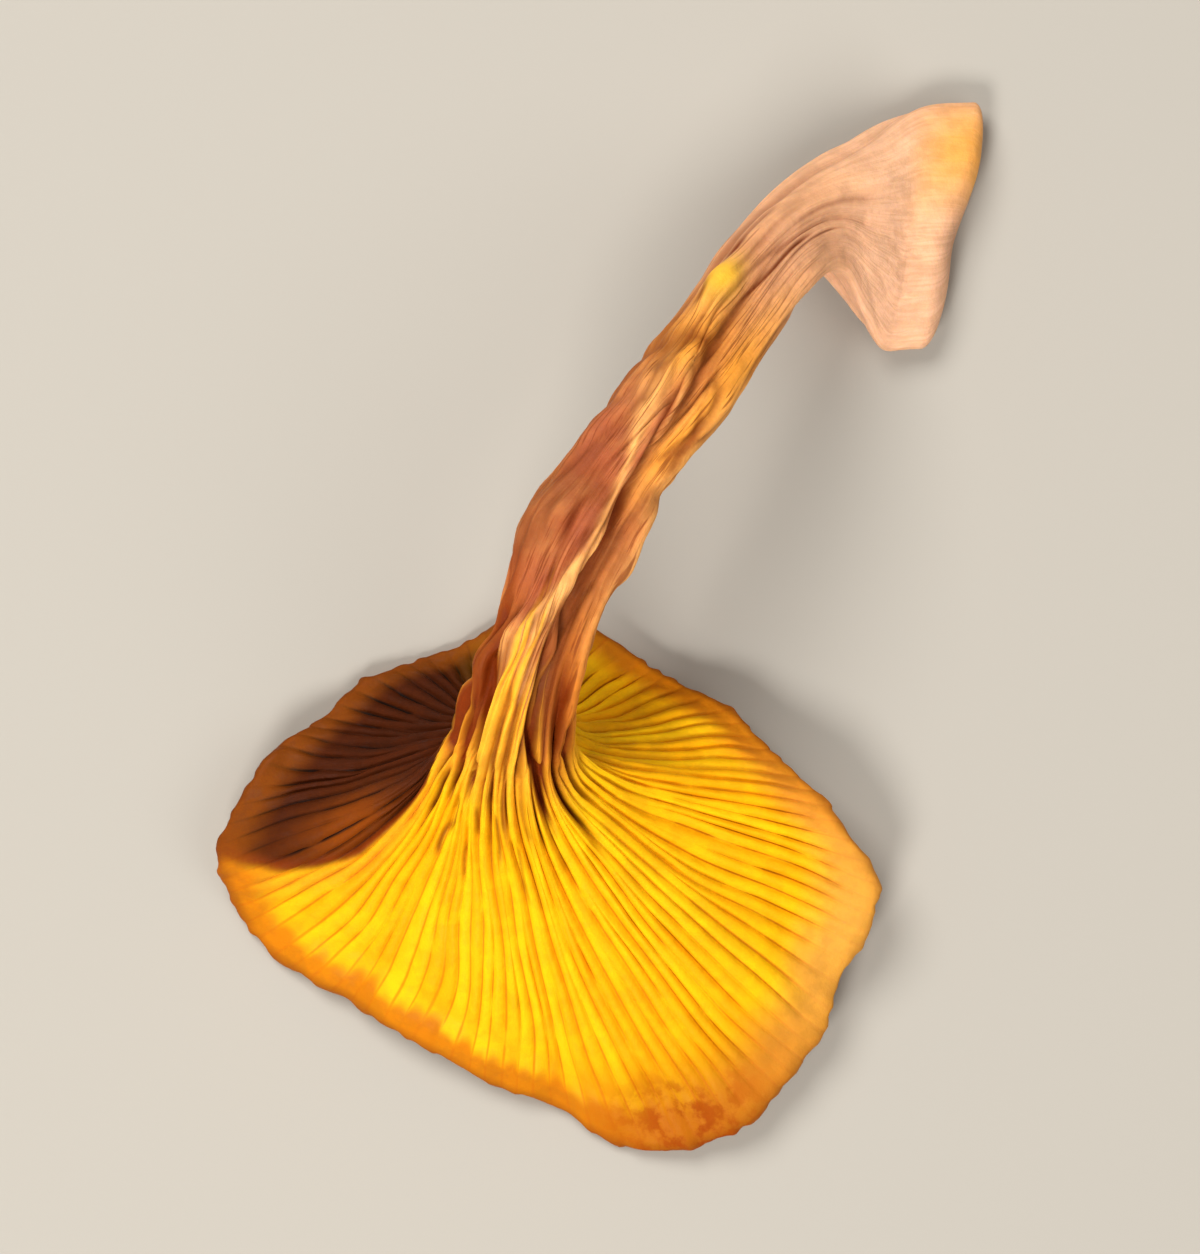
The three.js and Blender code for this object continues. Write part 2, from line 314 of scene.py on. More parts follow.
@dataclass(frozen=True)
class StemForm:
    """The stem, swept over ribs from the neck to the foot, in millimetres.

    Attributes:
        ribs: Left x, left y, right x, right y, height of the middle, half the thickness.
        folds: Place round, height as a share of the radius, width round, how much further
            round it swings halfway down the stem, and from where, of each long fold.
        swing_takes, swing_ends: How much of the stem a swing takes, and where it goes off.
        swing_fade, swing_fades: How much lower a fold is past its swing, and where it gets so.
        wander: How far round a fold strays, in what waves, and how these differ by its place.
        folds_start: Where the folds come on.
        folds_fade, folds_fades: How much lower they are at the foot, and where they get so.
        lean, lean_starts: How far round the left flank turns over, and where along it starts.
        lean_at, lean_width: Where round the flank turns most, and how far that reaches.
        bulge, bulge_flat: How far the foot's closed end rounds out, and how much less at its
            two corners.
        narrow: How much narrower the end gets, which rounds its corners.
        dent: How much of the stem the end falls short, between heel and flare.
        dent_at: Where across the foot it draws in most, from -1 on the left to 1.
        dent_width: How far across the dent reaches.
        dent_starts: Where along the stem it comes on.
    """

    ribs: tuple[tuple[float, ...], ...] = (
        (-4.5, -4.5, 0.1, -5.1, 8.4, 2.1),
        (-3.5, -1.7, 0.5, -2.4, 10.8, 1.9),
        (-2.6, 1.8, 1.6, 0.7, 12.2, 1.8),
        (-2.1, 5.2, 3.1, 3.7, 12.7, 2.0),
        (0.4, 8.3, 4.6, 6.6, 12.5, 1.8),
        (2.6, 11.4, 6.9, 9.4, 11.6, 1.9),
        (5.3, 14.9, 9.2, 12.6, 9.8, 1.7),
        (8.4, 19.0, 11.2, 15.8, 6.7, 1.7),
        (11.2, 21.4, 12.5, 16.6, 4.4, 1.7),
        (14.0, 23.1, 13.7, 15.0, 2.8, 1.7),
        (16.5, 24.7, 14.9, 13.3, 1.65, 1.6),
        (19.3, 24.9, 16.8, 13.2, 1.3, 1.4),
    )
    folds: tuple[tuple[float, ...], ...] = (
        (0.56, 0.3, 0.05, 0.21, 0.08),
        (0.66, -0.3, 0.05, 0.155, -0.2),
        (0.92, 0.18, 0.038, 0.0, 0.0),
        (0.03, -0.14, 0.04, 0.0, 0.0),
        (0.12, 0.12, 0.04, 0.0, 0.0),
        (0.22, -0.24, 0.05, 0.0, 0.0),
        (0.33, 0.2, 0.04, 0.0, 0.0),
        (0.43, -0.16, 0.04, 0.0, 0.0),
    )
    swing_takes: float = 0.18
    swing_ends: Pair = (0.36, 0.62)
    swing_fade: float = 0.6
    swing_fades: Pair = (0.48, 0.62)
    wander: Triple = (0.02, 9.0, 20.0)
    folds_start: Pair = (-0.12, 0.14)
    folds_fade: float = 0.85
    folds_fades: Pair = (0.75, 1.0)
    lean: float = 0.12
    lean_at: float = 0.56
    lean_width: float = 0.2
    lean_starts: Pair = (0.04, 0.32)
    bulge: float = 1.2
    bulge_flat: float = 0.4
    narrow: float = 0.32
    dent: float = 0.028
    dent_at: float = 0.2
    dent_width: float = 0.55
    dent_starts: Pair = (0.8, 1.0)

    def section(self, s: Number) -> tuple[Array, Array, Array, Array]:
        """Describe the stem's cross-section.

        Args:
            s: How far from the neck to the foot, from 0 to 1.

        Returns:
            The middle, the half width, the half thickness and the way ahead.
        """
        ribs = np.array(self.ribs)
        left = Thread(ribs[:, [0, 1, 4]])
        right = Thread(ribs[:, [2, 3, 4]])
        half = Thread(np.stack([ribs[:, 5]] * 3, axis=1))
        step = 1e-4
        tangents = [
            unit(side.at(np.clip(s + step, 0, 1)) - side.at(np.clip(s - step, 0, 1)))
            for side in (left, right)
        ]
        ahead = unit(tangents[0] + tangents[1])
        middle = 0.5 * (left.at(s) + right.at(s))
        wide = 0.5 * (right.at(s) - left.at(s))
        thick = unit(np.cross(ahead, wide)) * half.at(s)
        return middle, wide, thick, ahead

    def fold_place(self, number: int, s: Number) -> Array:
        """Find one of the folds.

        Args:
            number: Which fold.
            s: How far from the neck to the foot.

        Returns:
            How far round the fold lies there.
        """
        place, _, _, swing, since = self.folds[number]
        amount, waves, shift = self.wander
        turned = swing * ease(since, since + self.swing_takes, s)
        turned = turned * (1.0 - ease(*self.swing_ends, s))
        return place + turned + amount * np.sin(waves * s + shift * place)

    def fold_height(self, u: Number, s: Number) -> Array:
        """Read the folds of the shrunken stem.

        Args:
            u: How far round.
            s: How far from the neck to the foot.

        Returns:
            How far the folds swell or sink the section, as a share of it.
        """
        depth = ease(*self.folds_start, s) * (1.0 - self.folds_fade * ease(*self.folds_fades, s))
        swell = np.zeros(np.broadcast_shapes(np.shape(u), np.shape(s)))
        for number, (_, height, width, swing, _) in enumerate(self.folds):
            fade = 1.0 - self.swing_fade * ease(*self.swing_fades, s) if swing else 1.0
            swell = swell + height * fade * hump(u - self.fold_place(number, s), 0.0, width)
        return depth * swell

    def point(self, u: Array, s: Number, plain: bool = False) -> Array:
        """Find points on the stem's skin.

        Args:
            u: How far round, from 0 to 1.
            s: How far from the neck to the foot.
            plain: Whether the folds are left out.

        Returns:
            The points.
        """
        lean = self.lean * ease(*self.lean_starts, s) * hump(u, self.lean_at, self.lean_width)
        angle = TURN * (u + lean)
        across = (np.cos(angle) - self.dent_at) / self.dent_width
        reached = s - self.dent * ease(*self.dent_starts, s) * np.exp(-(across**2))
        middle, wide, thick, _ = self.section(reached)
        swell = 1.0 if plain else 1.0 + self.fold_height(u, s)
        beside = (swell * np.cos(angle))[..., None] * wide
        over = (swell * np.sin(angle))[..., None] * thick
        return middle + beside + over

    def end(self, points: Array, turn: float) -> Array:
        """Thin the last rib's points out over the foot's rounded end.

        Args:
            points: The points on the last rib.
            turn: How far over the end the row lies, from 0 to 1.

        Returns:
            The row's points.
        """
        middle, wide, thick, ahead = self.section(np.ones(1))
        over = unit(thick[0])
        angle = 0.5 * math.pi * turn
        thinner = 1.0 - math.cos(angle)
        away = points - middle[0]
        across = away @ wide[0] / (wide[0] @ wide[0])
        beyond = self.bulge * math.sin(angle) * (1.0 - self.bulge_flat * np.minimum(1.0, across**2))
        thinned = away - (thinner * (away @ over))[:, None] * over
        narrowed = thinned - (thinner * self.narrow * across)[:, None] * wide[0]
        return middle[0] + narrowed + beyond[:, None] * ahead[0]


@dataclass(frozen=True)
class CapForm:
    """The cap: a lopsided funnel from the stem's neck to a wavy margin, in millimetres.

    Attributes:
        stem: The stem that it grows from.
        margin: Stations of the margin, anticlockwise from the right as seen from above.
        waves: How the margin waves in and out.
        wave_lift: How far it waves up and down, as a share of that.
        focus: The point under the neck that the slopes aim at.
        shoulder_share: How far in from the margin the slope's shoulder sits.
        shoulder_front, shoulder_back: How high it stands over the margin in front and behind.
        shoulder_wave: How its height waves in front.
        front_ends: Where round the high front comes to its end on the right.
        fold_at, fold_width: Where round the cap folds over sharply, and over how much of it.
        fold_softness: How much further the fold spreads on the hollow's side.
        fold_lip, fold_lip_width: How high the fold's crest stands, and how far round.
        reach: How far the stem's line runs on into the cap.
        reach_swing: More of that in front, and less behind.
        curl: How far the margin rolls up.
        curl_wave: How that differs on the way round, as a share of it.
        curl_starts: Where on the way out it does.
        flesh_neck, flesh_margin: The flesh's thickness at the neck and at the margin.
        flesh_goes: Where one gives way to the other.
        flesh_thin, flesh_thin_width: How much thinner it is under the fold, and how far round.
    """

    stem: StemForm
    margin: tuple[Triple, ...] = (
        (14.2, -12.2, 3.3),
        (12.0, -8.1, 3.9),
        (8.0, -4.3, 2.6),
        (3.6, -1.6, 1.2),
        (-1.2, 0.2, 1.3),
        (-6.2, -1.2, 0.8),
        (-10.6, -3.6, 1.5),
        (-13.9, -6.8, 2.5),
        (-15.8, -10.4, 2.4),
        (-15.0, -13.7, 0.75),
        (-11.2, -16.3, 0.8),
        (-6.5, -19.2, 1.5),
        (-1.7, -21.9, 1.1),
        (3.5, -23.9, 0.35),
        (8.3, -23.0, 1.5),
        (12.2, -18.0, 2.4),
    )
    waves: tuple[Swing, Swing] = (Swing(9, 1.0, 0.15), Swing(14, 2.2, 0.09))
    wave_lift: float = 0.5
    focus: Triple = (-2.4, -6.6, 2.6)
    shoulder_share: float = 0.42
    shoulder_front: float = 4.0
    shoulder_back: float = 0.9
    shoulder_wave: Swing = Swing(3, 0.4, 0.4)
    front_ends: Pair = (0.9, 1.0)
    fold_at: float = 0.495
    fold_width: float = 0.055
    fold_softness: float = 0.1
    fold_lip: float = 0.5
    fold_lip_width: float = 0.035
    reach: float = 3.0
    reach_swing: float = 1.3
    curl: float = 0.6
    curl_wave: Swing = Swing(5, 1.0, 0.5)
    curl_starts: Pair = (0.86, 1.0)
    flesh_neck: float = 1.0
    flesh_margin: float = 0.85
    flesh_goes: Pair = (0.0, 0.8)
    flesh_thin: float = 0.4
    flesh_thin_width: float = 0.06

    def margin_point(self, u: Array) -> Array:
        """Find points on the margin.

        Args:
            u: How far round, by the margin's length.

        Returns:
            The points.
        """
        point = Thread(np.array(self.margin), closed=True).by_length(u)
        wave = self.waves[0].at(u) + self.waves[1].at(u)
        outward = point - np.array(self.focus)
        outward[..., 2] = 0.0
        point = point + unit(outward) * wave[..., None]
        point[..., 2] += self.wave_lift * wave
        return point

    def shoulder_rise(self, u: Array, plain: bool) -> Array:
        """Give the shoulder's height over the margin: high in front, with a fold on the left.

        Args:
            u: How far round.
            plain: Whether the fold is softened, as on the hollow's side.

        Returns:
            The height.
        """
        place = u % 1.0
        fold_end = self.fold_at + (self.fold_softness if plain else 0.0)
        front = ease(self.fold_at - self.fold_width, fold_end, place)
        front = front * (1.0 - ease(*self.front_ends, place))
        wave = self.shoulder_wave.at(u) * front
        lip_at = self.fold_at + 0.5 * self.fold_lip_width
        lip = 0.0 if plain else self.fold_lip * hump(place, lip_at, self.fold_lip_width)
        return mix(self.shoulder_back, self.shoulder_front, front) + wave + lip

    def point(self, u: Array, t: Number, plain: bool = False) -> Array:
        """Find points on the cap's outside, without its ridges.

        Args:
            u: How far round, from 0 to 1.
            t: How far from the neck to the margin.
            plain: Whether the folds are left out, as on the hollow's side.

        Returns:
            The points.
        """
        start = self.stem.point(u, np.zeros_like(u), plain)
        ahead = self.stem.section(np.zeros(1))[3]
        reach = self.reach - self.reach_swing * np.sin(TURN * u)
        leave = start - ahead * reach[..., None]
        end = self.margin_point(u)
        shoulder = mix(end, np.array(self.focus), self.shoulder_share)
        shoulder[..., 2] = end[..., 2] + self.shoulder_rise(u, plain)
        k = np.clip(t, 0.0, 1.0)[..., None]
        return (
            start * (1.0 - k) ** 3
            + 3.0 * leave * k * (1.0 - k) ** 2
            + 3.0 * shoulder * k**2 * (1.0 - k)
            + end * k**3
        )

    def margin_curl(self, u: Array, t: Number) -> Array:
        """Give how far the margin's roll lifts the skin."""
        return self.curl * (0.5 + self.curl_wave.at(u)) * ease(*self.curl_starts, t)

    def flesh(self, u: Array, t: Number) -> Array:
        """Give the flesh's thickness round the cap and from neck to margin."""
        even = mix(self.flesh_neck, self.flesh_margin, ease(*self.flesh_goes, t))
        return even * (1.0 - self.flesh_thin * hump(u, self.fold_at, self.flesh_thin_width))


@dataclass(frozen=True)
class RidgePattern:
    """Ridges that run along the stem and fork twice on their way to the margin.

    Attributes:
        stem_ridges: How many there are on the stem.
        height_foot, height_stem, height_neck, height_cap: Their heights, in millimetres.
        stem_starts, neck_starts, cap_starts: Where each height gives way to the next.
        margin_low: How much lower they are at the margin.
        margin_starts: Where they get lower.
        crest_sharpness: Below 1 the crests are broad and the valleys narrow.
        first_forks, second_forks: Where ridges fork at the earliest, and how much later at most.
        unforked: How far apart two twigs stand before their fork, as a share.
        fork_opens: From how long before a fork to how long past it they part.
        valley_opens: The same for the valley between them.
        spread: How unevenly the ridges are spaced at the margin.
        sway: How far a ridge sways on its way, in steps between ridges, and in what waves.
        bend, bends: How far ridges bend beside each other, and the waves in which they do.
        veins: The waves of the cross veins.
        vein_base: How high those waves have to stand to make a vein.
        vein_height: How high the veins stand, as a share of the ridges.
        vein_starts: Where they come on.
        uneven: The waves of the crests' height, as a share.
        own_height: How much the ridges differ in height, as a share.
        low_front, low_rim: How much lower they are in front, and along the margin there.
        broken, broken_ends: The waves that break them up on the stem, and where these go off.
        aligned: Where the mesh columns come in line with them.
    """

    stem_ridges: int = 22
    height_foot: float = 0.03
    height_stem: float = 0.1
    height_neck: float = 0.38
    height_cap: float = 0.38
    stem_starts: Pair = (0.15, 0.45)
    neck_starts: Pair = (0.6, 1.0)
    cap_starts: Pair = (1.05, 1.4)
    margin_low: float = 0.85
    margin_starts: Pair = (1.88, 1.98)
    crest_sharpness: float = 0.5
    first_forks: Pair = (1.02, 0.25)
    second_forks: Pair = (1.28, 0.4)
    unforked: float = 0.35
    fork_opens: Pair = (0.16, 0.2)
    valley_opens: Pair = (0.1, 0.14)
    spread: float = 0.3
    sway: Pair = (0.2, 7.0)
    bend: float = 0.4
    bends: Ripple = Ripple(13, 26, 5.0)
    veins: Ripple = Ripple(12, 88, 15.0)
    vein_base: float = 0.1
    vein_height: float = 0.6
    vein_starts: Pair = (1.05, 1.2)
    uneven: Ripple = Ripple(11, 88, 9.0, 0.16)
    own_height: float = 0.3
    low_front: Patch = Patch(0.65, 0.17, Stretch(rise=(1.15, 1.5)), 0.45)
    low_rim: Patch = Patch(0.65, 0.17, Stretch(rise=(1.84, 1.9)), 0.8)
    broken: Ripple = Ripple(14, 22, 9.0, 0.5)
    broken_ends: Pair = (0.8, 0.95)
    aligned: Pair = (0.85, 1.08)

    @property
    def tips(self) -> int:
        """Count the ridges at the margin."""
        return 4 * self.stem_ridges

    def height(self, way: Number) -> Array:
        """Give the ridges' height in millimetres.

        Args:
            way: Places along.

        Returns:
            The height at each place.
        """
        foot = mix(self.height_foot, self.height_stem, ease(*self.stem_starts, way))
        stem = mix(foot, self.height_neck, ease(*self.neck_starts, way))
        cap = mix(stem, self.height_cap, ease(*self.cap_starts, way))
        return cap * (1.0 - self.margin_low * ease(*self.margin_starts, way))

    def first_fork(self, ridge: Array) -> Array:
        """Give the way at which a stem ridge forks."""
        return self.first_forks[0] + self.first_forks[1] * draw(ridge + Draw.FIRST_FORK)

    def second_fork(self, twig: Array) -> Array:
        """Give the way at which each of its two twigs forks again."""
        return self.second_forks[0] + self.second_forks[1] * draw(twig + Draw.SECOND_FORK)

    def parted(self, fork: Array, way: float) -> Array:
        """Give how far two twigs have parted at a way, as a share."""
        before, past = self.fork_opens
        return mix(self.unforked, 1.0, ease(fork - before, fork + past, way))

    def crests(self, way: float) -> Array:
        """Place every crest on one row.

        Args:
            way: Where the row is.

        Returns:
            How far round each crest is, in rising order.
        """
        tip = np.arange(self.tips)
        tip_place = (tip + 0.5 + self.spread * (draw(tip + Draw.SPREAD) - 0.5)) / self.tips
        twig_place = tip_place.reshape(-1, 2).mean(axis=1)
        ridge_place = twig_place.reshape(-1, 2).mean(axis=1)
        twig = tip // 2
        ridge = tip // 4
        twig_shift = (twig_place[twig] - ridge_place[ridge]) * self.parted(self.first_fork(ridge), way)
        tip_shift = (tip_place - twig_place[twig]) * self.parted(self.second_fork(twig), way)
        amount, waves = self.sway
        sway = amount / self.tips * np.sin(waves * way + TURN * draw(ridge + Draw.SWAY))
        bend = self.bend / self.tips * self.bends(tip_place, np.full(self.tips, way))
        return ridge_place[ridge] + twig_shift + tip_shift + sway + bend

    def depths(self, way: float) -> Array:
        """Read how deep the valley after each crest is on one row.

        Args:
            way: Where the row is.

        Returns:
            The depths, from 0 to 1.
        """
        tip = np.arange(self.tips)
        inner = self.second_fork(tip // 2)
        outer = self.first_fork(tip // 4)
        fork = np.where(tip % 2 == 1, outer, inner)
        before, past = self.valley_opens
        return np.where(tip % 4 == 3, 1.0, ease(fork - before, fork + past, way))

    def relief(self, u: Array, way: float) -> tuple[Array, Array]:
        """Read one row's ridges.

        Args:
            u: The row's places round.
            way: Where the row is.

        Returns:
            The height from 0, in a valley, to 1, on a crest; and a draw of each ridge's own.
        """
        crests = self.crests(way)
        wrapped = np.concatenate([crests, [crests[0] + 1.0]])
        place = (u - crests[0]) % 1.0 + crests[0]
        before = np.clip(np.searchsorted(wrapped, place, side="right") - 1, 0, self.tips - 1)
        share = (place - wrapped[before]) / (wrapped[before + 1] - wrapped[before])
        profile = np.abs(np.cos(math.pi * share)) ** self.crest_sharpness
        after = (before + 1) % self.tips
        own = mix(draw(before + Draw.OWN), draw(after + Draw.OWN), ease(0.2, 0.8, share))
        return 1.0 - self.depths(way)[before] * (1.0 - profile), own

    def columns(self, way: float, per_ridge: int) -> Array:
        """Place one row's mesh columns, in line with its crests on the cap.

        Args:
            way: Where the row is.
            per_ridge: Columns for each of the margin's ridges.

        Returns:
            The columns' places round, in rising order.
        """
        crests = self.crests(way)
        following = np.concatenate([crests[1:], [crests[0] + 1.0]])
        shares = np.arange(per_ridge) / per_ridge
        aligned = (crests[:, None] + (following - crests)[:, None] * shares).ravel()
        count = self.tips * per_ridge
        even = (np.arange(count) + 0.5 * per_ridge) / count
        return mix(even, aligned, float(ease(*self.aligned, way)))

    def rows(self, u: Array, way: Array) -> tuple[Array, Array, Array]:
        """Read the ridges on a block of rows.

        Args:
            u: Places round, one row of the block each.
            way: Where the rows are, of the same shape.

        Returns:
            The relief from 0 to 1, each point's ridge height in millimetres, and each ridge's draw.
        """
        relief = np.empty_like(u)
        own = np.empty_like(u)
        for row in range(len(u)):
            relief[row], own[row] = self.relief(u[row], float(way[row, 0]))
        veins = np.clip(self.veins(u, way) - self.vein_base, 0.0, 1.0) * ease(*self.vein_starts, way)
        relief = np.clip(relief + self.vein_height * veins * (1.0 - relief), 0.0, 1.0)
        uneven = 1.0 + self.uneven(u, way) + self.own_height * (own - 0.5)
        uneven = uneven * (1.0 - self.low_front.share(u, way)) * (1.0 - self.low_rim.share(u, way))
        uneven = uneven * mix(0.5 + self.broken(u, way), 1.0, ease(*self.broken_ends, way))
        return relief, relief * self.height(way) * uneven, own


@dataclass(frozen=True)
class DriedRelief:
    """The small relief that drying leaves in the flesh, in millimetres.

    Attributes:
        furrow, fine_furrow: The stem's long furrows, and its fine ones.
        crease, fine_crease: Depth of the stem's creases, and of its finest.
        crease_stray: The waves in which creases stray from a straight course.
        creases_broad, creases_fine: The waves along whose zero lines creases run.
        crease_widths: How wide a band of those waves makes a crease, broad and fine.
        gap: Extra depth of the gaps between the ridges round the neck.
        gap_waves, gap_stretch: The waves that choose which of them opened, and where they are.
        pucker, fine_pucker: The stem's small wrinkles, most of them across it, and the smallest.
        pucker_slant: How far round a wrinkle slants on its way along.
        swell, grain: The cap's slow swelling and its fine grain.
        crinkle, fine_crinkle, crinkled: The margin's crinkles, and where they come on.
        clump, clumped: The waves in which ridges round the neck bundle up, and where they do.
        roll: Where and how far the smooth margin rolls up past the ridges' ends.
        foot_share: How much of the stem's relief the foot has.
        stem_starts, stem_ends: Where the stem's relief comes to its full height and goes off.
        cap_starts: Where the cap's relief comes on.
    """

    furrow: Ripple = Ripple(42, 12, 3.2, 0.2)
    fine_furrow: Ripple = Ripple(45, 30, 30.0, 0.05)
    crease: float = 0.26
    fine_crease: float = 0.04
    crease_stray: Ripple = Ripple(41, 8, 9.0, 0.05)
    creases_broad: Ripple = Ripple(43, 15, 7.0)
    creases_fine: Ripple = Ripple(44, 37, 20.0)
    crease_widths: Pair = (0.16, 0.2)
    gap: float = 0.3
    gap_waves: Ripple = Ripple(51, 88, 8.0, 1.8)
    gap_stretch: Stretch = Stretch((0.9, 1.02), (1.2, 1.5))
    pucker: Ripple = Ripple(46, 13, 28.0, 0.12)
    pucker_slant: float = 0.05
    fine_pucker: Ripple = Ripple(47, 44, 50.0, 0.06)
    swell: Ripple = Ripple(27, 9, 4.0, 0.14)
    grain: Ripple = Ripple(28, 176, 44.0, 0.02)
    crinkle: Ripple = Ripple(25, 70, 12.0, 0.09)
    fine_crinkle: Ripple = Ripple(26, 130, 20.0, 0.054)
    crinkled: Pair = (1.82, 1.97)
    clump: Ripple = Ripple(15, 31, 4.0, 0.3)
    clumped: Stretch = Stretch((0.86, 1.0), (1.2, 1.55))
    roll: Spot = Spot(0.66, 1.945, (0.14, 0.035), 0.16)
    foot_share: float = 0.12
    stem_starts: Pair = (0.2, 0.52)
    stem_ends: Pair = (0.92, 1.1)
    cap_starts: Pair = (1.0, 1.15)

    def on_stem(self, way: Array) -> Array:
        """Give how far the stem's relief holds: weaker on the foot, gone on the cap."""
        full = mix(self.foot_share, 1.0, ease(*self.stem_starts, way))
        return full * (1.0 - ease(*self.stem_ends, way))

    def creases(self, u: Array, way: Array) -> tuple[Array, Array]:
        """Read how deep in a crease each place is.

        Args:
            u: Places round.
            way: Places along.

        Returns:
            The depths in broad creases and in fine ones, from 0 to 1.
        """
        stray = u + self.crease_stray(u, way)
        broad = bell(self.creases_broad(stray, way), 0.0, self.crease_widths[0])
        fine = bell(self.creases_fine(stray, way), 0.0, self.crease_widths[1])
        return broad, fine

    def gaps(self, u: Array, way: Array, relief: Array) -> Array:
        """Read how deep in a gap between ridges each place round the neck is.

        Args:
            u: Places round.
            way: Places along.
            relief: How high on a ridge each place is.

        Returns:
            The depths, from 0 to 1.
        """
        opened = np.clip(self.gap_waves(u, way), 0.0, 1.0)
        return self.gap_stretch.share(way) * opened * (1.0 - relief)

    def height(self, u: Array, way: Array, relief: Array) -> Array:
        """Give the small relief's height.

        Args:
            u: Places round.
            way: Places along.
            relief: How high on a ridge each place is.

        Returns:
            The height, in millimetres.
        """
        broad, fine = self.creases(u, way)
        stem = self.furrow(u, way) + self.fine_furrow(u, way)
        stem = stem - self.crease * broad - self.fine_crease * fine
        stem = stem + self.pucker(u + self.pucker_slant * way, way) + self.fine_pucker(u, way)
        cap = self.swell(u, way) + self.grain(u, way)
        edge = self.crinkle(u, way) + self.fine_crinkle(u, way)
        opened = sum(line.depth * line.shape(u, way) for line in GAPS + CRESTS)
        swollen = sum(lump.share(u, way) for lump in LUMPS)
        return (
            stem * self.on_stem(way)
            + cap * ease(*self.cap_starts, way)
            + edge * ease(*self.crinkled, way)
            - self.gap * self.gaps(u, way, relief)
            + self.clumped.share(way) * self.clump(u, way)
            - opened
            + swollen
            + self.roll.share(u, way)
        )


@dataclass(frozen=True)
class Line:
    """One long, narrow line in the dried flesh: a gap that opened, or a crest.

    Attributes:
        path: Its places (how far round, way), from foot to margin.
        width: How far round it reaches.
        depth: How deep it is, in millimetres; below zero for a crest.
        tone: How much painted shade darkens the flesh in it, or a painted highlight lightens it on a
            crest.
        tail: How wide it is at its end nearer the margin, as a share.
        tail_starts: How far along it starts to get as wide as that.
        soft_ends: How much of its length each end takes to fade.
        sway: How far round it sways, and in what waves.
    """

    path: tuple[Pair, ...]
    width: float = 0.011
    depth: float = 0.4
    tone: float = 1.0
    tail: float = 1.0
    tail_starts: float = 0.35
    soft_ends: float = 0.2
    sway: Pair = (0.002, 30.0)

    def shape(self, u: Array, way: Array) -> Array:
        """Give how near the line's middle each place is, from 0 to 1.

        Args:
            u: Places round.
            way: Places along.

        Returns:
            The shares.
        """
        places, ways = np.array(self.path).T
        start, end = ways[0], ways[-1]
        soften = self.soft_ends * (end - start)
        centre = np.interp(way, ways, places) + self.sway[0] * np.sin(way * self.sway[1])
        tail = ease(mix(start, end, self.tail_starts), end, way)
        width = self.width * mix(1.0, self.tail, tail)
        inside = Stretch((start - soften, start + soften), (end - soften, end + soften))
        return inside.share(way) * hump(u, centre, width)


@dataclass(frozen=True)
class Lump(Spot):
    """One small swelling of the dried flesh; its strength is its height in millimetres.

    Below zero it is a hollow.

    Attributes:
        tone: How much painted shade darkens the flesh in a hollow.
    """

    tone: float = 0.0


# Each gap's tone is painted shade in it; the one with no depth is painted shade alone, down the neck's
# left side.
GAPS = (
    Line(((0.585, 0.84), (0.616, 0.948), (0.64, 1.02), (0.645, 1.16)), 0.02, 0.85, 1.3, 0.45),
    Line(((0.765, 0.85), (0.8, 0.95), (0.845, 1.03), (0.852, 1.24)), 0.02, 0.9, 1.3, 0.45),
    Line(((0.885, 0.88), (0.905, 1.0), (0.908, 1.34)), 0.016, 0.75, 1.2, 0.45),
    Line(((0.545, 0.86), (0.535, 1.0), (0.54, 1.18)), 0.016, 0.55, 1.1, 0.45),
    Line(((0.52, 0.77), (0.54, 0.88), (0.527, 0.98), (0.52, 1.08)), 0.028, 0.0, 0.75, 0.6),
    Line(((0.572, 0.9), (0.582, 1.05), (0.59, 1.24)), 0.011, 0.45, 1.1, 0.45),
    Line(((0.95, 0.84), (0.96, 1.0), (0.957, 1.26)), 0.015, 0.55, 1.1, 0.45),
    Line(((0.69, 0.9), (0.7, 1.02), (0.702, 1.2)), 0.009, 0.34, 0.8),
    Line(((0.735, 0.92), (0.738, 1.06), (0.738, 1.28)), 0.009, 0.34, 0.8),
    Line(((0.787, 1.02), (0.79, 1.3)), 0.007, 0.24, 0.55),
    Line(((0.608, 1.34), (0.608, 1.47)), 0.0035, 0.16, 0.8),
    Line(((0.616, 1.24), (0.616, 1.36)), 0.004, 0.18, 0.8),
    Line(((0.677, 1.2), (0.677, 1.3)), 0.004, 0.18, 0.7),
    Line(((0.72, 1.22), (0.72, 1.36)), 0.004, 0.16, 0.7),
    Line(((0.655, 1.36), (0.655, 1.48)), 0.003, 0.14, 0.6),
    Line(((0.565, 1.14), (0.565, 1.34)), 0.005, 0.2, 0.8),
    Line(((0.76, 1.3), (0.76, 1.45)), 0.0035, 0.12, 0.5),
    Line(((0.715, 0.345), (0.709, 0.37), (0.704, 0.4), (0.66, 0.44)), 0.013, 0.17, 0.8),
    Line(((0.74, 0.3), (0.75, 0.35), (0.755, 0.38)), 0.009, 0.07, 0.35),
    Line(((0.505, 0.35), (0.5, 0.39), (0.51, 0.42)), 0.018, 0.1, 0.45),
    Line(((0.59, 0.2), (0.6, 0.3), (0.61, 0.36)), 0.01, 0.07, 0.35),
    Line(((0.672, 0.52), (0.69, 0.56), (0.745, 0.59), (0.79, 0.63), (0.832, 0.69), (0.85, 0.75)),
         0.02, 0.42, 0.8),
    Line(((0.86, 0.55), (0.895, 0.58), (0.9, 0.63)), 0.012, 0.14, 0.5),
)
# Each crest's tone is a painted highlight along it.
CRESTS = (
    Line(((0.59, 0.515), (0.59, 0.55), (0.62, 0.58), (0.675, 0.62)), 0.058, -0.3, 1.1, 0.7),
    Line(((0.65, 0.6), (0.716, 0.635), (0.75, 0.69), (0.775, 0.74), (0.72, 0.785), (0.68, 0.82),
          (0.64, 0.88)), 0.022, -0.22, 1.0),
    Line(((0.95, 0.68), (0.955, 0.9)), 0.024, -0.05, 0.9),
)
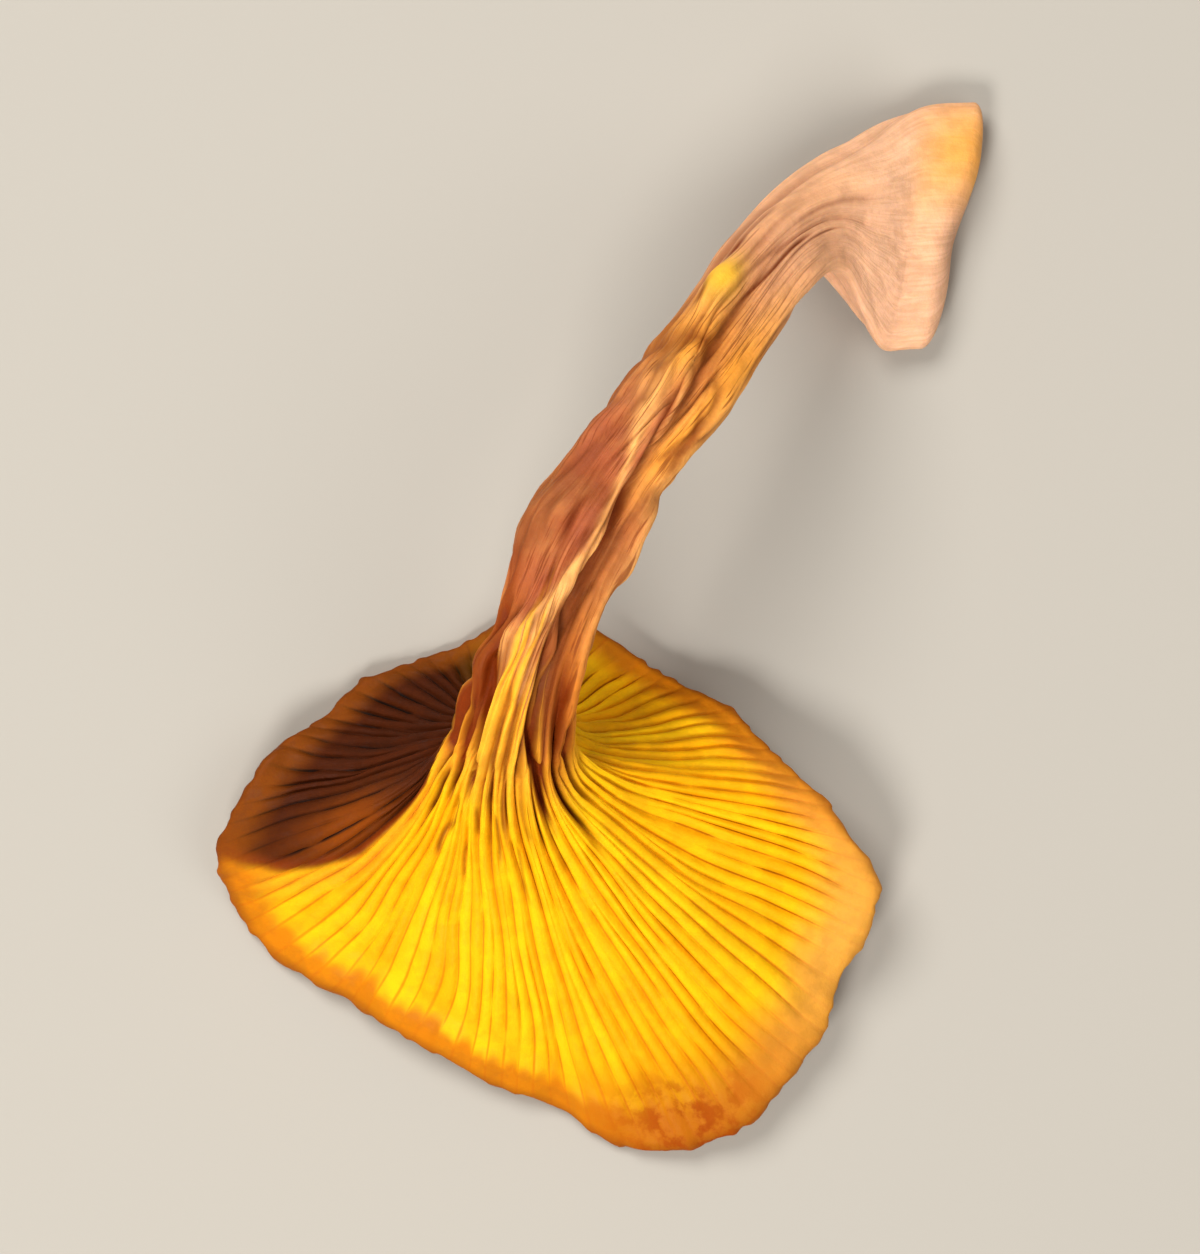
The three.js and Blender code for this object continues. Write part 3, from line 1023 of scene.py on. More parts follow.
# The hollows' tones are painted shade; the wide, shallow one on the flank is little more than a shade
# spot.
LUMPS = (
    Lump(0.555, 0.443, (0.05, 0.024), 0.75),
    Lump(0.57, 0.485, (0.03, 0.014), 0.25),
    Lump(0.585, 0.528, (0.045, 0.022), 0.4),
    Lump(0.62, 0.492, (0.09, 0.009), -0.16, 0.55),
    Lump(0.5, 0.402, (0.03, 0.009), -0.1, 0.6),
    Lump(0.52, 0.45, (0.03, 0.009), -0.16, 0.85),
    Lump(0.6, 0.725, (0.05, 0.04), -0.05, 0.3),
    Lump(0.9, 0.675, (0.04, 0.018), 0.3),
    Lump(0.9, 0.62, (0.03, 0.03), 0.15),
    Lump(0.55, 0.71, (0.04, 0.03), 0.22),
    Lump(0.87, 0.53, (0.03, 0.02), 0.2),
)


@dataclass(frozen=True)
class Markings:
    """Where the dried flesh has a colour of its own, and where shade and highlights are painted on.

    Attributes:
        fold_line: Ways from neck to margin, and how far round the cap's fold lies at each.
        fold_soft: How softly the aged sector ends there.
        fold_dark, fold_light: How far from the line its painted shadow and golden edge run, and how wide.
        fold_starts: Where both edges come on.
        fold_tones: How strong the painted shadow line and the golden edge are.
        painted_shade: Where round the painted shade behind the fold comes on, at its other end.
        painted_shade_starts: Where along it comes on.
        glow: Where the painted shade behind the fold is lighter.
        flank, flank_stretch: Where round and along the stem's reddish flank is.
        flank_end: How far from the stem's first fold it ends.
        fold_full: The height of a fold that counts as a whole one.
        crease_tones: How much painted shade darkens the flesh in broad and fine creases.
        bright: The yellow patch halfway up the stem, lightened as a painted highlight.
        band: The warm band along the stem's right.
        halo, tongue: The warm ring round that patch, and the warm tongue above it.
        heel: The foot's rounded end.
        blush: Where along the stem it is pinkish.
        worn: The margin's worn stretch.
        front: The front, where the smooth margin starts crisply.
        right: The paler side on the right.
        gills_start: Where round the cap's colours start nearer the foot, or further from it.
        gills_uneven: How much that start differs by how high on a ridge a place is, and by ridge.
        gills_soft: From how long before that start to how long past it they come on.
        strands, strand_sides: Where along and where round the neck's strands are.
        strand_own: How strong they are at most, and how much that differs by ridge.
        valleys, valley_sides: Where along the ridges' valleys are painted dark, as shade, and where round
            darker.
        valley_tones: How dark they are, and how much more at those sides.
    """

    fold_line: tuple[tuple[float, ...], ...] = ((1.12, 1.28, 1.62, 2.0), (0.5, 0.535, 0.535, 0.486))
    fold_soft: float = 0.005
    fold_dark: Pair = (-0.004, 0.005)
    fold_light: Pair = (0.012, 0.012)
    fold_starts: Pair = (1.15, 1.3)
    fold_tones: Pair = (0.8, 0.6)
    # The sector behind the cap's fold is painted in shade.
    painted_shade: Pair = (0.16, 0.32)
    painted_shade_starts: Pair = (1.04, 1.2)
    glow: Spot = Spot(0.502, 1.62, (0.028, 0.16))
    flank: Pair = (0.42, 0.5)
    flank_end: float = -0.03
    flank_stretch: Stretch = Stretch((0.46, 0.56), (0.9, 1.04))
    fold_full: float = 0.3
    crease_tones: Pair = (0.75, 0.35)
    # Painted highlight on the lump halfway up the stem, over its yellow.
    bright: Spot = Spot(0.555, 0.437, (0.045, 0.018), 1.2)
    band: Patch = Patch(0.87, 0.055, Stretch((0.3, 0.45), (0.58, 0.72)))
    halo: Spot = Spot(0.6, 0.465, (0.2, 0.055), 0.9)
    tongue: Spot = Spot(0.61, 0.515, (0.06, 0.035), 0.5)
    heel: Patch = Patch(0.53, 0.08, Stretch(fall=(0.0, 0.14)))
    blush: Stretch = Stretch((0.08, 0.2), (0.36, 0.5))
    worn: Patch = Patch(0.82, 0.05, Stretch(rise=(1.78, 1.95)))
    front: Patch = Patch(0.66, 0.13)
    right: Patch = Patch(0.97, 0.09)
    gills_start: tuple[Patch, ...] = (Patch(0.69, 0.06, strength=-0.13), Patch(0.92, 0.06, strength=0.05))
    gills_uneven: Pair = (0.12, 0.1)
    gills_soft: Pair = (-0.05, 0.07)
    strands: Stretch = Stretch((0.74, 0.9), (1.06, 1.26))
    strand_sides: tuple[Patch, ...] = (Patch(0.92, 0.08), Patch(0.53, 0.08))
    strand_own: Pair = (1.1, 0.5)
    valleys: Stretch = Stretch((0.82, 0.93), (1.06, 1.3))
    valley_sides: tuple[Patch, ...] = (Patch(0.93, 0.09), Patch(0.54, 0.07))
    valley_tones: Pair = (0.45, 0.8)

    def past_fold(self, u: Array, way: Array) -> Array:
        """Give how far round each place lies past the cap's fold."""
        return u % 1.0 - np.interp(way, *self.fold_line)

    def fold_edges(self, u: Array, way: Array) -> tuple[Array, Array]:
        """Read the two edges along the cap's fold: a painted shadow line and a golden edge.

        Args:
            u: Places round.
            way: Places along.

        Returns:
            How dark and how golden each place is there.
        """
        past = self.past_fold(u, way)
        starts = ease(*self.fold_starts, way)
        dark, golden = self.fold_tones
        return dark * bell(past, *self.fold_dark) * starts, golden * bell(past, *self.fold_light) * starts

    def behind(self, u: Array, way: Array) -> Array:
        """Give how much each place belongs to the sector behind the cap's fold, painted in shade."""
        before = 1.0 - ease(-self.fold_soft, self.fold_soft, self.past_fold(u, way))
        return before * ease(*self.painted_shade, u % 1.0) * ease(*self.painted_shade_starts, way)

    def on_flank(self, u: Array, way: Array, crest_at: Array) -> Array:
        """Read how much each place belongs to the stem's flank.

        Args:
            u: Places round.
            way: Places along.
            crest_at: How far round the stem's first fold lies.

        Returns:
            The shares, from 0 to 1.
        """
        around = ease(*self.flank, u % 1.0) * ease(0.0, self.flank_end, u % 1.0 - crest_at)
        return around * self.flank_stretch.share(way)

    def gilled(self, u: Array, way: Array, relief: Array, own: Array) -> Array:
        """Read how far each place has the cap's colours.

        Args:
            u: Places round.
            way: Places along.
            relief: How high on a ridge each place is.
            own: Each ridge's own draw.

        Returns:
            The shares, from 0 on the stem to 1 on the cap.
        """
        start = 1.0 + sum(patch.share(u, way) for patch in self.gills_start)
        start = start - self.gills_uneven[0] * (relief - 0.5) - self.gills_uneven[1] * (own - 0.5)
        return ease(*self.gills_soft, way - start)

    def stranded(self, u: Array, way: Array, own: Array) -> Array:
        """Read how far each place belongs to the strands at the neck.

        Args:
            u: Places round.
            way: Places along.
            own: Each ridge's own draw.

        Returns:
            The shares.
        """
        sides = sum(patch.share(u, way) for patch in self.strand_sides)
        strong, less = self.strand_own
        return self.strands.share(way) * sides * (strong - less * own)

    def valley(self, u: Array, way: Array, relief: Array) -> Array:
        """Read how dark the valleys between ridges are painted round the neck, as shade.

        Args:
            u: Places round.
            way: Places along.
            relief: How high on a ridge each place is.

        Returns:
            The darkness at each place.
        """
        sides = sum(patch.share(u, way) for patch in self.valley_sides)
        base, more = self.valley_tones
        return (base + more * sides) * (1.0 - relief) * self.valleys.share(way)


# ---------------- the fine skin


class Side(Enum):
    """The two faces of the mushroom's skin, each with a material of its own."""

    RIDGED = 0
    SMOOTH = 1


@dataclass
class Weave:
    """Gathers rows of points into one closed mesh.

    Attributes:
        points: The rows' points.
        marks: Named values for each point, in the same order.
        faces: The faces, by the numbers of their points.
        sides: The side that each face is on.
        count: How many points there are.
    """

    points: list[Array] = field(default_factory=list)
    marks: dict[str, list[Array]] = field(default_factory=dict)
    faces: list[tuple[int, ...]] = field(default_factory=list)
    sides: list[int] = field(default_factory=list)
    count: int = 0

    def add(self, points: Array, marks: dict[str, Array]) -> Array:
        """Add one row.

        Args:
            points: The row's points.
            marks: The row's named values.

        Returns:
            The numbers of the row's points.
        """
        numbers = np.arange(self.count, self.count + len(points))
        self.points.append(points)
        for name, values in marks.items():
            self.marks.setdefault(name, []).append(np.asarray(values, dtype=float))
        self.count += len(points)
        return numbers

    def join(self, lower: Array, upper: Array, side: Side) -> None:
        """Join two rows, of which one may have twice the columns of the other.

        Args:
            lower: The numbers of one row's points.
            upper: The numbers of the next row's points.
            side: The side that the faces are on.
        """
        low_next = np.roll(lower, -1)
        up_next = np.roll(upper, -1)
        if len(lower) == len(upper):
            made = list(zip(lower, upper, up_next, low_next))
        elif len(upper) == 2 * len(lower):
            even, odd, after = upper[0::2], upper[1::2], up_next[1::2]
            made = list(zip(lower, even, odd))
            made += list(zip(lower, odd, low_next))
            made += list(zip(low_next, odd, after))
        else:
            even, odd, after = lower[0::2], lower[1::2], low_next[1::2]
            made = list(zip(upper, odd, even))
            made += list(zip(upper, up_next, odd))
            made += list(zip(up_next, after, odd))
        self.faces += [tuple(int(number) for number in face) for face in made]
        self.sides += [side.value] * len(made)

    def close_flat(self, row: Array, side: Side) -> None:
        """Close a thin row straight across, from its near edge to its far edge.

        Args:
            row: The numbers of the row's points.
            side: The side that the faces are on.
        """
        half = len(row) // 2
        near, far = row[:half], row[::-1][:half]
        quads = zip(near, near[1:], far[1:], far)
        self.faces += [tuple(int(number) for number in quad) for quad in quads]
        self.sides += [side.value] * (half - 1)

    def close_round(self, row: Array, tip: int, side: Side) -> None:
        """Close a row round one point."""
        self.faces += [(int(b), int(a), tip) for a, b in zip(row, np.roll(row, -1))]
        self.sides += [side.value] * len(row)

    def mesh(self, name: str, shift: Array) -> bpy.types.Mesh:
        """Make the Blender mesh.

        Args:
            name: The mesh's name.
            shift: How far every point moves, in millimetres.

        Returns:
            The mesh, in metres.
        """
        mesh = bpy.data.meshes.new(name)
        points = (np.vstack(self.points) + shift) * MM
        mesh.from_pydata(points.tolist(), [], self.faces)
        mesh.polygons.foreach_set("material_index", self.sides)
        mesh.polygons.foreach_set("use_smooth", [True] * len(self.faces))
        for label, rows in self.marks.items():
            values = np.concatenate(rows)
            kind = "FLOAT_VECTOR" if values.ndim == 2 else "FLOAT"
            key = "vector" if values.ndim == 2 else "value"
            layer = mesh.attributes.new(label, kind, "POINT")
            layer.data.foreach_set(key, values.ravel())
        mesh.update()
        return mesh


@dataclass
class MushroomSkin:
    """The whole mushroom as one fine skin.

    Attributes:
        stem: The stem's form.
        cap: The cap's form.
        ridges: The ridges' pattern.
        relief: The small relief of the dried flesh.
        markings: Where the flesh has colours of its own, and painted shade and highlights.
        columns_per_ridge: Mesh columns for each ridge at the margin.
        outer_columns: How many of those go to one on the stem, the collar and the slope.
        collar_start, slope_start: Where the collar's and the slope's rows begin.
        stem_rows, collar_rows, cap_rows: Mesh rows along the stem, the collar and the slope.
        hollow_rows: Mesh rows from the margin to the hollow's end.
        hollow_columns: How many columns go to one there, on its first rows and on the rest.
        edge_rows: Mesh rows round the margin's edge.
        edge_ridged: How far round the edge the ridged side's finish goes.
        edge_along: How much the edge adds to the way.
        foot_rows: Mesh rows round the foot's closed end.
        hollow_start: Where the hollow begins, as a share of the way out.
        hollow_tip: How far its closed end reaches into the stem, in millimetres.
        hollow_waves, hollow_ripples: The wrinkles of its skin, and the fine ones.
        hollow_wrinkled: Where on the way out these are.
        edge_round: How far the margin's rounded edge stands out, in millimetres.
        edge_look_back: How far back along the cap its direction is read from.
        teeth, fine_teeth: The waves that make it uneven, and the finer ones.
        slope_step: How long a step the skin's slope is read from.
        rest_depth: How much of each low spot is flat against the ground.
    """

    stem: StemForm
    cap: CapForm
    ridges: RidgePattern
    relief: DriedRelief
    markings: Markings
    columns_per_ridge: int = 8
    outer_columns: tuple[int, int, int] = (4, 2, 1)
    collar_start: float = 0.82
    slope_start: float = 1.1
    stem_rows: int = 130
    collar_rows: int = 30
    cap_rows: int = 62
    hollow_rows: int = 34
    hollow_columns: tuple[int, ...] = (1, 2, 2, 4)
    edge_rows: int = 5
    edge_ridged: float = 0.6
    edge_along: float = 0.05
    foot_rows: int = 9
    hollow_start: float = 0.16
    hollow_tip: float = 0.4
    hollow_waves: Ripple = Ripple(31, 30, 6.0, 0.14)
    hollow_ripples: Ripple = Ripple(32, 61, 18.0, 0.07)
    hollow_wrinkled: Stretch = Stretch((0.16, 0.4), (0.9, 1.0))
    edge_round: float = 0.35
    edge_look_back: float = 0.03
    teeth: Ripple = Ripple(33, 88, 1.0, 0.5)
    fine_teeth: Ripple = Ripple(34, 190, 1.0, 0.4)
    slope_step: float = 2e-3
    rest_depth: float = 0.12

    def point(self, u: Array, way: Array, plain: bool = False) -> Array:
        """Find points on the bare skin.

        Args:
            u: Places round.
            way: Places along, from foot (0) through neck (1) to margin (2).
            plain: Whether folds are left out, as on the hollow's side.

        Returns:
            The points.
        """
        on_stem = self.stem.point(u, np.clip(1.0 - way, 0.0, 1.0), plain)
        on_cap = self.cap.point(u, np.clip(way - 1.0, 0.0, 1.0), plain)
        return np.where((way < 1.0)[..., None], on_stem, on_cap)

    def normal(self, u: Array, way: Array, plain: bool = False) -> Array:
        """Find the outward direction from short steps on the bare skin.

        Args:
            u: Places round.
            way: Places along.
            plain: Whether folds are left out, as on the hollow's side.

        Returns:
            The directions, of length 1.
        """
        step = self.slope_step
        high = np.minimum(2.0, way + step)
        low = np.maximum(0.0, way - step)
        along = self.point(u, high, plain) - self.point(u, low, plain)
        across = self.point(u + step, way, plain) - self.point(u - step, way, plain)
        return unit(np.cross(along, across))

    def marks(
        self, u: Array, way: Array, relief: Array, own: Array, beyond: float = 0.0
    ) -> dict[str, Array]:
        """Describe points for the materials.

        Args:
            u: Places round.
            way: Places along.
            relief: How high on a ridge each point is.
            own: Each ridge's own draw.
            beyond: What is added to the way, past the margin.

        Returns:
            Named values for each point.
        """
        look = self.markings
        s = np.clip(1.0 - way, 0.0, 1.0)
        broad, fine = self.relief.creases(u, way)
        # Painted shade in the stem's creases and dark lines.
        crease = (look.crease_tones[0] * broad + look.crease_tones[1] * fine) * self.relief.on_stem(way)
        dark_lines = sum(one.tone * one.shape(u, way) for one in GAPS + LUMPS)
        light_lines = sum(one.tone * one.shape(u, way) for one in CRESTS)
        # The fold's dark edge is a painted shadow line; it goes into the gap mark.
        fold_dark, fold_golden = look.fold_edges(u, way)
        # Painted shade: gaps, neck valleys, dark lines, hollows and the fold's shadow line.
        gap = self.relief.gaps(u, way, relief) + look.valley(u, way, relief) + dark_lines + fold_dark
        strand = look.stranded(u, way, own) + fold_golden
        band = look.band.share(u, way) + look.tongue.share(u, way) + look.halo.share(u, way)
        angle = TURN * u
        return {
            "along": way + beyond,
            "gilled": look.gilled(u, way, relief, own),
            "ridge": relief,
            "own": own,
            "fold": self.stem.fold_height(u, s) / look.fold_full,
            "crease": np.clip(crease + dark_lines, 0.0, 1.0),
            "gap": np.clip(gap, 0.0, 1.0),
            "flank": look.on_flank(u, way, self.stem.fold_place(0, s)),
            "lip": np.clip(light_lines, 0.0, 1.0),
            "behind": look.behind(u, way),
            "glow": look.glow.share(u, way),
            "bright": np.clip(look.bright.share(u, way), 0.0, 1.0),
            "band": np.clip(band, 0.0, 1.0),
            "heel": look.heel.share(u, way),
            "blush": look.blush.share(way),
            "strand": np.clip(strand, 0.0, 1.0),
            "worn": look.worn.share(u, way),
            "front": look.front.share(u, way),
            "right": look.right.share(u, way),
            "grown": np.stack([np.cos(angle), np.sin(angle), way + beyond], axis=-1),
        }

    def outer_block(self, way: Array, every: int) -> tuple[Array, dict[str, Array]]:
        """Work out a block of the ridged side's rows.

        Args:
            way: Where the rows are.
            every: How many of the finest columns go to one column here.

        Returns:
            The points and the marks, with a row of the block on each first axis.
        """
        u = np.stack([self.ridges.columns(float(w), self.columns_per_ridge) for w in way])
        u = u[:, ::every]
        ways = np.broadcast_to(way[:, None], u.shape)
        relief, height, own = self.ridges.rows(u, ways)
        lift = height + self.relief.height(u, ways, relief)
        lift = lift + self.cap.margin_curl(u, ways - 1.0)
        points = self.point(u, ways) + self.normal(u, ways) * lift[..., None]
        return points, self.marks(u, ways, relief, own)

    def inner_points(self, u: Array, t: Array) -> Array:
        """Find points on the hollow's smooth side, a flesh's thickness under the plain outside.

        Args:
            u: Places round.
            t: How far from the neck to the margin.

        Returns:
            The points.
        """
        wrinkles = self.hollow_waves(u, t) + self.hollow_ripples(u, t)
        wrinkles = wrinkles * self.hollow_wrinkled.share(t)
        depth = self.cap.flesh(u, t) - self.cap.margin_curl(u, t) + wrinkles
        way = 1.0 + t
        return self.point(u, way, True) - self.normal(u, way, True) * depth[..., None]

    def edge_block(self, u: Array, outside: Array) -> tuple[Array, Array]:
        """Round the margin from the ridged side to the smooth side.

        Args:
            u: The last outer row's places round.
            outside: The last outer row's points.

        Returns:
            The edge's rows, and the angle of each from the outside, from 0 to 1.
        """
        inside = self.inner_points(u, np.ones_like(u))
        ways = np.full_like(u, 2.0)
        outward = unit(self.point(u, ways) - self.point(u, ways - self.edge_look_back))
        teeth = 1.0 + self.teeth(u, ways) + self.fine_teeth(u, ways)
        middle = 0.5 * (outside + inside)
        shares = (np.arange(self.edge_rows) + 1.0) / (self.edge_rows + 1.0)
        rows = []
        for share in shares:
            angle = math.pi * share
            stand = (self.edge_round * teeth * math.sin(angle))[..., None] * outward
            rows.append(middle + (outside - middle) * math.cos(angle) + stand)
        return np.stack(rows), shares

    def build(self) -> bpy.types.Object:
        """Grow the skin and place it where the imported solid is.

        Returns:
            The mushroom's object.
        """
        weave = Weave()
        rows: list[tuple[Array, Side]] = []

        def put(points: Array, marks: dict[str, Array], side: Side) -> None:
            """Add a row to the weave, with the side that its faces are on."""
            rows.append((weave.add(points, marks), side))

        on_stem, on_collar, on_slope = self.outer_columns
        foot_points, foot_marks = self.outer_block(np.zeros(1), on_stem)
        for number in range(self.foot_rows, 0, -1):
            row = self.stem.end(foot_points[0], number / (self.foot_rows + 1.0))
            put(row, {name: values[0] for name, values in foot_marks.items()}, Side.RIDGED)
        collar, slope = self.collar_start, self.slope_start
        for ways, every in (
            (np.linspace(0.0, collar, self.stem_rows, endpoint=False), on_stem),
            (np.linspace(collar, slope, self.collar_rows, endpoint=False), on_collar),
            (np.linspace(slope, 2.0, self.cap_rows), on_slope),
        ):
            points, marks = self.outer_block(ways, every)
            for row in range(len(ways)):
                put(points[row], {name: values[row] for name, values in marks.items()}, Side.RIDGED)

        last_u = self.ridges.columns(2.0, self.columns_per_ridge)
        edge, shares = self.edge_block(last_u, points[-1])
        flat = np.zeros_like(last_u)
        for row, share in zip(edge, shares):
            beyond = self.edge_along * float(share)
            marks = self.marks(last_u, flat + 2.0, flat, flat + 0.5, beyond)
            put(row, marks, Side.RIDGED if share < self.edge_ridged else Side.SMOOTH)

        for step in range(self.hollow_rows + 1):
            t = float(mix(1.0, self.hollow_start, step / self.hollow_rows))
            u = last_u[:: self.hollow_columns[min(step, len(self.hollow_columns) - 1)]]
            ts = np.full_like(u, t)
            flat = np.zeros_like(u)
            beyond = 1.0 + self.edge_along - t
            marks = self.marks(u, flat + 2.0, flat, flat + 0.5, beyond)
            put(self.inner_points(u, ts), marks, Side.SMOOTH)

        for (lower, _), (upper, side) in zip(rows, rows[1:]):
            weave.join(lower, upper, side)
        weave.close_flat(rows[0][0], Side.RIDGED)
        self.close_hollow(weave, rows[-1][0])
        points = np.vstack(weave.points)
        points[:, 2] = np.maximum(0.0, points[:, 2] - self.rest_depth)
        weave.points = [points]
        low, high = (np.array(corner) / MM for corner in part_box(NODE))
        shift = 0.5 * (low + high - points.min(axis=0) - points.max(axis=0))
        shift[2] = 0.0
        piece = bpy.data.objects.new("chanterelle_skin", weave.mesh("chanterelle_skin", shift))
        bpy.context.scene.collection.objects.link(piece)
        return piece

    def close_hollow(self, weave: Weave, row: Array) -> None:
        """Close the hollow's end.

        Args:
            weave: The mesh so far.
            row: The numbers of the last row's points.
        """
        ahead = self.stem.section(np.zeros(1))[3][0]
        tip = np.vstack(weave.points)[row].mean(axis=0) + self.hollow_tip * ahead
        marks = {name: np.concatenate(rows)[row[:1]] for name, rows in weave.marks.items()}
        number = weave.add(tip[None, :], marks)
        weave.close_round(row, int(number[0]), Side.SMOOTH)


# ---------------- shader tools


def colour(code: str) -> tuple[float, float, float, float]:
    """Turn a screen colour into Blender's linear colour.

    Args:
        code: The screen colour, such as "#f0a020".

    Returns:
        Red, green, blue and 1.
    """
    parts = [int(code[start : start + 2], 16) / 255.0 for start in (1, 3, 5)]
    linear = [c / 12.92 if c <= 0.04045 else ((c + 0.055) / 1.055) ** 2.4 for c in parts]
    return (linear[0], linear[1], linear[2], 1.0)


@dataclass(frozen=True)
class Ramp:
    """An eased way from one value to another.

    Attributes:
        low: Where it starts.
        high: Where it ends.
        first: The value up to its start.
        last: The value from its end on.
    """

    low: float = 0.0
    high: float = 1.0
    first: float = 0.0
    last: float = 1.0


@dataclass(frozen=True)
class Layer:
    """A colour laid over the others where the skin has a mark.

    Attributes:
        mark: The mark.
        share: How much it covers at most.
        tint: The colour.
    """

    mark: str
    share: float
    tint: str


@dataclass
class Bench:
    """Adds and links the nodes of one tree.

    Attributes:
        tree: The node tree.
        placed: How many nodes have a place, for a tidy layout.
        in_line: How many stand in one line.
        step: How far apart they stand, across and down.
    """

    tree: bpy.types.NodeTree
    placed: int = 0
    in_line: int = 12
    step: Pair = (180.0, -260.0)

    def add(self, kind: str, feeds: Optional[Feeds] = None, **settings: object) -> Node:
        """Add a node, feed it and set its properties.

        Args:
            kind: The node's type.
            feeds: Its inputs, by name or number.
            settings: Its properties by name.

        Returns:
            The node.
        """
        node = self.tree.nodes.new(kind)
        down, across = divmod(self.placed, self.in_line)
        node.location = (self.step[0] * across, self.step[1] * down)
        self.placed += 1
        for name, value in settings.items():
            setattr(node, name, value)
        for name, value in (feeds or {}).items():
            self.feed(node.inputs[name], value)
        return node

    def feed(self, target: Socket, value: object) -> None:
        """Link a socket, or set it to a plain value.

        Args:
            target: The socket that takes it in.
            value: The socket to link, or the plain value.
        """
        if isinstance(value, bpy.types.NodeSocket):
            self.tree.links.new(value, target)
        else:
            target.default_value = value

    def math(self, operation: str, a: object, b: object) -> Socket:
        """Work out a sum of two numbers, plain or from sockets."""
        return self.add("ShaderNodeMath", {0: a, 1: b}, operation=operation).outputs[0]

    def span(self, value: object, ramp: Ramp) -> Socket:
        """Send a value along a ramp."""
        feeds = {0: value, 1: ramp.low, 2: ramp.high, 3: ramp.first, 4: ramp.last}
        return self.add("ShaderNodeMapRange", feeds, interpolation_type="SMOOTHSTEP").outputs[0]

    def blend(self, factor: object, a: object, b: object, mode: str = "MIX") -> Socket:
        """Mix two colours, by how much of the second one there is."""
        feeds = {0: factor, 6: a, 7: b}
        return self.add("ShaderNodeMix", feeds, data_type="RGBA", blend_type=mode).outputs[2]

    def mark(self, name: str) -> Node:
        """Read one of the skin's named values."""
        return self.add("ShaderNodeAttribute", attribute_name=name, attribute_type="GEOMETRY")

    def group(self, tree: bpy.types.NodeTree, **values: object) -> Socket:
        """Place a shared group with its own values, and give its output."""
        return self.add("ShaderNodeGroup", values, node_tree=tree).outputs[0]


class SharedEffects:
    """The node groups that more than one material uses, each built once."""

    def start(
        self, name: str, inputs: dict[str, object], outputs: tuple[str, ...]
    ) -> tuple[Bench, Node, Node]:
        """Start a group with named sockets.

        Args:
            name: The group's name.
            inputs: Each input with its default; a vector input has None.
            outputs: The outputs, all values.

        Returns:
            A bench for the group, and its input and output nodes.
        """
        tree = bpy.data.node_groups.new(name, "ShaderNodeTree")
        for label, default in inputs.items():
            kind = "NodeSocketVector" if default is None else "NodeSocketFloat"
            socket = tree.interface.new_socket(name=label, in_out="INPUT", socket_type=kind)
            if default is not None:
                socket.default_value = default
        for label in outputs:
            tree.interface.new_socket(name=label, in_out="OUTPUT", socket_type="NodeSocketFloat")
        bench = Bench(tree)
        return bench, bench.add("NodeGroupInput"), bench.add("NodeGroupOutput")

    @cached_property
    def mottling(self) -> bpy.types.NodeTree:
        """Make soft clouds of lighter and darker flesh, from 0 to 1.

        Returns:
            The group.
        """
        inputs = {"Place": None, "Size": 300.0, "Detail": 4.0, "Low": 0.35, "High": 0.65}
        bench, source, sink = self.start("Mottled flesh", inputs, ("Amount",))
        noise = bench.add("ShaderNodeTexNoise", {
            "Vector": source.outputs["Place"],
            "Scale": source.outputs["Size"],
            "Detail": source.outputs["Detail"],
            "Roughness": 0.6,
        }, noise_dimensions="3D")
        span = bench.span(noise.outputs[0], Ramp(0.0, 1.0))
        bench.feed(span.node.inputs["From Min"], source.outputs["Low"])
        bench.feed(span.node.inputs["From Max"], source.outputs["High"])
        bench.feed(sink.inputs["Amount"], span)
        return bench.tree

    @cached_property
    def fibres(self) -> bpy.types.NodeTree:
        """Make fine fibres that run the way the mushroom grew.

        Returns:
            The group.
        """
        inputs = {"Grown": None, "Count": 30.0, "Length": 6.0, "Waver": 0.05}
        bench, source, sink = self.start("Grown fibres", inputs, ("Height",))
        grown, count, length, waver = (source.outputs[name] for name in inputs)
        wobble = bench.add("ShaderNodeTexNoise", {"Vector": grown, "Scale": 9.0}, noise_dimensions="3D")
        feeds = {0: wobble.outputs[1], 1: waver, 2: grown}
        shift = bench.add("ShaderNodeVectorMath", feeds, operation="MULTIPLY_ADD")
        stretch = bench.add("ShaderNodeCombineXYZ", {0: count, 1: count, 2: length})
        feeds = {0: shift.outputs[0], 1: stretch.outputs[0]}
        scaled = bench.add("ShaderNodeVectorMath", feeds, operation="MULTIPLY")
        feeds = {"Vector": scaled.outputs[0], "Scale": 1.0, "Detail": 3.0}
        noise = bench.add("ShaderNodeTexNoise", feeds, noise_dimensions="3D")
        bench.feed(sink.inputs["Height"], noise.outputs[0])
        return bench.tree

    @cached_property
    def wrinkles(self) -> bpy.types.NodeTree:
        """Make fine puckers of dried skin, as a height.

        Returns:
            The group.
        """
        inputs = {"Place": None, "Size": 900.0}
        bench, source, sink = self.start("Dried puckers", inputs, ("Height",))
        place, size = (source.outputs[name] for name in inputs)
        feeds = {"Vector": place, "Scale": size, "Detail": 5.0, "Roughness": 0.62}
        noise = bench.add("ShaderNodeTexNoise", feeds, noise_dimensions="3D")
        bench.feed(sink.inputs["Height"], noise.outputs[0])
        return bench.tree


# ---------------- finishes


@dataclass
class FleshBench(Bench):
    """A material's bench, with what its colours are read from.

    Attributes:
        marks: The skin's named values.
        broad: Soft clouds over the flesh.
        fine: Its fine mottling.
        fibres: Fine fibres along it.
        puckers: Its puckers' height.
    """

    marks: dict[str, Socket] = field(default_factory=dict)
    broad: Optional[Socket] = None
    fine: Optional[Socket] = None
    fibres: Optional[Socket] = None
    puckers: Optional[Socket] = None

    def cover(self, tone: Socket, layers: tuple[Layer, ...]) -> Socket:
        """Lay colours over a colour, each where its mark is.

        Args:
            tone: The colour so far.
            layers: The colours, from the lowest.

        Returns:
            The colour's socket.
        """
        for layer in layers:
            share = self.math("MULTIPLY", self.marks[layer.mark], layer.share)
            tone = self.blend(share, tone, colour(layer.tint))
        return tone


